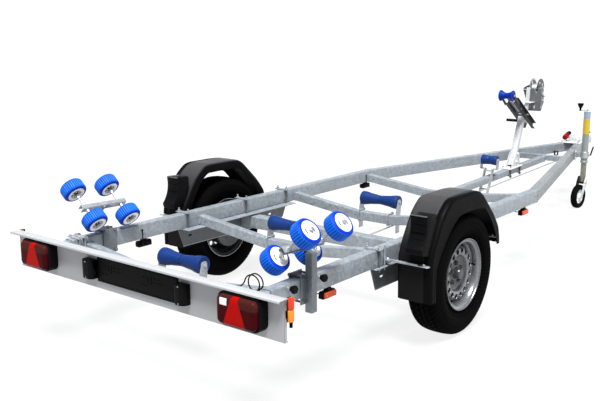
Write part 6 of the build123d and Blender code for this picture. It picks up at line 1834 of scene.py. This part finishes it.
GROUND, JWR, JWW, TRAIL, FTOP, LEGT = -22.0, 110.0, 56.0, 72.0, 216.0, 268.0
JWZ = GROUND + JWR
jd = math.radians(-6.0)
ju = V((math.cos(jd), math.sin(jd), 0))
jtd = V((math.sin(jd), -math.cos(jd), 0))
wc = V((JX, JY, JWZ)) + jtd * TRAIL
FM = Matrix((ju, -jtd, V((0, 0, 1)))).transposed().to_4x4()
FM.translation = V((JX, JY, 0))
gap = JWW / 2 + 6
jf = Build()
jf.add(rbox(-gap - 4, gap + 4, -47, 19, FTOP - 12, FTOP - 0.2, 3.0, 2, FM), 0)
for s in (-1, 1):
    x0, x1 = sorted((s * gap, s * (gap + 4)))
    out = [(19, LEGT - 8), (12, LEGT), (-18, LEGT), (-25, LEGT - 4), (-47, FTOP), (-TRAIL - 16, JWZ + 6), (-TRAIL - 14, JWZ - 8), (-TRAIL - 8, JWZ - 14), (-TRAIL + 8, JWZ - 14), (-TRAIL + 14, JWZ - 8), (-TRAIL + 18, JWZ + 10), (19, FTOP - 6)]
    v_, f_ = prism(out, "x", x0, x1, 1.2, 2, "rims")
    jf.add((v_, f_), 1 if s > 0 else 0, FM)
    bolt(jf, wc + ju * (s * (gap + 4.2)), ju * s, 6.2, 0.0, 2, washer=False)
jf.add(cyl(wc - ju * (gap + 8.8), wc + ju * (gap + 8.8), 5.9, 18), 2)
jf.make("jockey_fork_legs", [M_BLACK, M_LEGSILVER, M_GALV_FINE], "jockey_fork", ("jockey_fork",), "black_plastic")

jw = Build()
WM = Matrix((V((0, 0, 1)), V((-ju.y, ju.x, 0)), ju)).transposed().to_4x4()
WM.translation = wc
o_, z_ = (0, 0, 0), (0, 0, 1)
tread = [(-15, 66), (-22, 69.5), (-24.5, 73), (-26.6, 80), (-27.8, 88), (-27.2, 95), (-24.5, 101.5), (-20, 106), (-14, 109), (-13.2, 107), (-10.8, 107), (-10, 109.5), (-6.2, 110), (-5.4, 108), (-3.2, 108), (-2.4, 110)]
jw.add(lathe(tread + [(-d, r) for d, r in reversed(tread)], o_, z_, 96, loop=True), 0, WM)
hub = [(-15, 66), (-16.5, 62), (-14, 58), (-7, 54), (-5.5, 40), (-9, 30), (-24, 24), (-27.6, 19.6), (-27.8, 6.2)]
jw.add(lathe(hub + [(-d, r) for d, r in reversed(hub)], o_, z_, 72), 1, WM)
for s in (-1, 1):
    for k in range(5):
        a = 2 * math.pi * k / 5
        jw.add(rbox(25, 57, -2, 2, min(s * 5, s * 13), max(s * 5, s * 13), 0.8, 1, Matrix.Rotation(a, 4, "Z")), 1, WM)
jw.make("jockey_wheel_tyre", [M_RUBBER, M_WHITE], "jockey_wheel", ("jockey_wheel",), "black_rubber")

# ---------------------------------------------------------------------------------------------
# small fittings seen on the frame: hooks and a bracket
# ---------------------------------------------------------------------------------------------
sm = Build()
# brake cable clips along the drawbar's left arm and a hook pair under the nose
for yy in (3860.0, 3900.0):
    xx = arm_x(yy) - 30
    sm.add(tube(arc_path([(xx, yy, 421), (xx, yy, 398), (xx + 16, yy + 4, 392), (xx + 20, yy + 6, 402)], 5, 5), 3.0, 10), 1)
xb = -(arm_x(3980.0) - 60 * ALEN) + 2
sm.add(rbox(xb, xb + 34, 3958, 3990, 438, 442, 1.0, 1), 0)
sm.add(rbox(xb, xb + 34, 3958, 3990, 402, 406, 1.0, 1), 0)
sm.add(rbox(xb + 30, xb + 34, 3958, 3990, 404, 440, 1.0, 1), 0)
sm.add(rbox(xb, xb + 4, 3958, 3990, 404, 440, 1.0, 1), 0)
sm.make("drawbar_fittings", [M_BLACK, M_GALV_FINE], "root")

# ---------------------------------------------------------------------------------------------
# stage: pale floor, white backdrop behind the subject, soft top light
# ---------------------------------------------------------------------------------------------
world = bpy.data.worlds.new("studio")
scene.world = world
world.use_nodes = True
wt = world.node_tree
wt.nodes["Background"].inputs[0].default_value = (0.80, 0.90, 1.0, 1.0)
wt.nodes["Background"].inputs[1].default_value = 0.30


def lamp(name, kind, energy, at, to, size=1.0, color=(1, 1, 1)):
    d = bpy.data.lights.new(name, kind)
    d.energy = energy
    d.color = color
    if kind == "AREA":
        d.shape = "DISK"
        d.size = size
    elif kind == "SUN":
        d.angle = size
    o = bpy.data.objects.new(name, d)
    scene.collection.objects.link(o)
    o.location = at
    o.rotation_euler = (Vector(to) - Vector(at)).to_track_quat("-Z", "Y").to_euler()
    return o


lamp("key", "SUN", 7.6, (2.4, -3.0, 9.2), (0, 0, 0), math.radians(24))

fm = Nodes("floor_pale")
fc = fm.noise(0.8, 3.0, 0.5)
ff = fm.noise(240.0, 2.0, 0.5)
fm.set(color=fm.mix(fc, (0.085, 0.085, 0.085), (0.09, 0.09, 0.09)), rough=0.8, spec=0.05, emit=(1.0, 1.0, 1.0), emit_k=0.84)
fm.bump((ff, 0.03, 0.0004))
bm = bmesh.new()
bmesh.ops.create_circle(bm, cap_ends=True, radius=60.0, segments=96)
floor_mesh = bpy.data.meshes.new("floor")
bm.to_mesh(floor_mesh)
bm.free()
floor_mesh.materials.append(fm.mat)
floor = bpy.data.objects.new("floor", floor_mesh)
scene.collection.objects.link(floor)
floor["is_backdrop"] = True

bk = Nodes("backdrop_white")
bk.set(color=bk.mix(bk.noise(0.3, 1.0, 0.5), (0.80, 0.80, 0.80), (0.82, 0.82, 0.82)), rough=0.8, spec=0.1, emit=(1.0, 1.0, 1.0), emit_k=1.1)
arc = [math.radians(a) for a in range(-10, 191, 5)]
bv = [(40.0 * math.cos(a), 40.0 * math.sin(a), z) for z in (-0.05, 3.0, 8.0) for a in arc]
na = len(arc)
bf = [(k * na + i, k * na + i + 1, (k + 1) * na + i + 1, (k + 1) * na + i) for k in range(2) for i in range(na - 1)]
back_mesh = bpy.data.meshes.new("backdrop")
back_mesh.from_pydata(bv, [], bf)
back_mesh.materials.append(bk.mat)
backdrop = bpy.data.objects.new("backdrop", back_mesh)
scene.collection.objects.link(backdrop)
backdrop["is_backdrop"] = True

LO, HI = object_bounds()
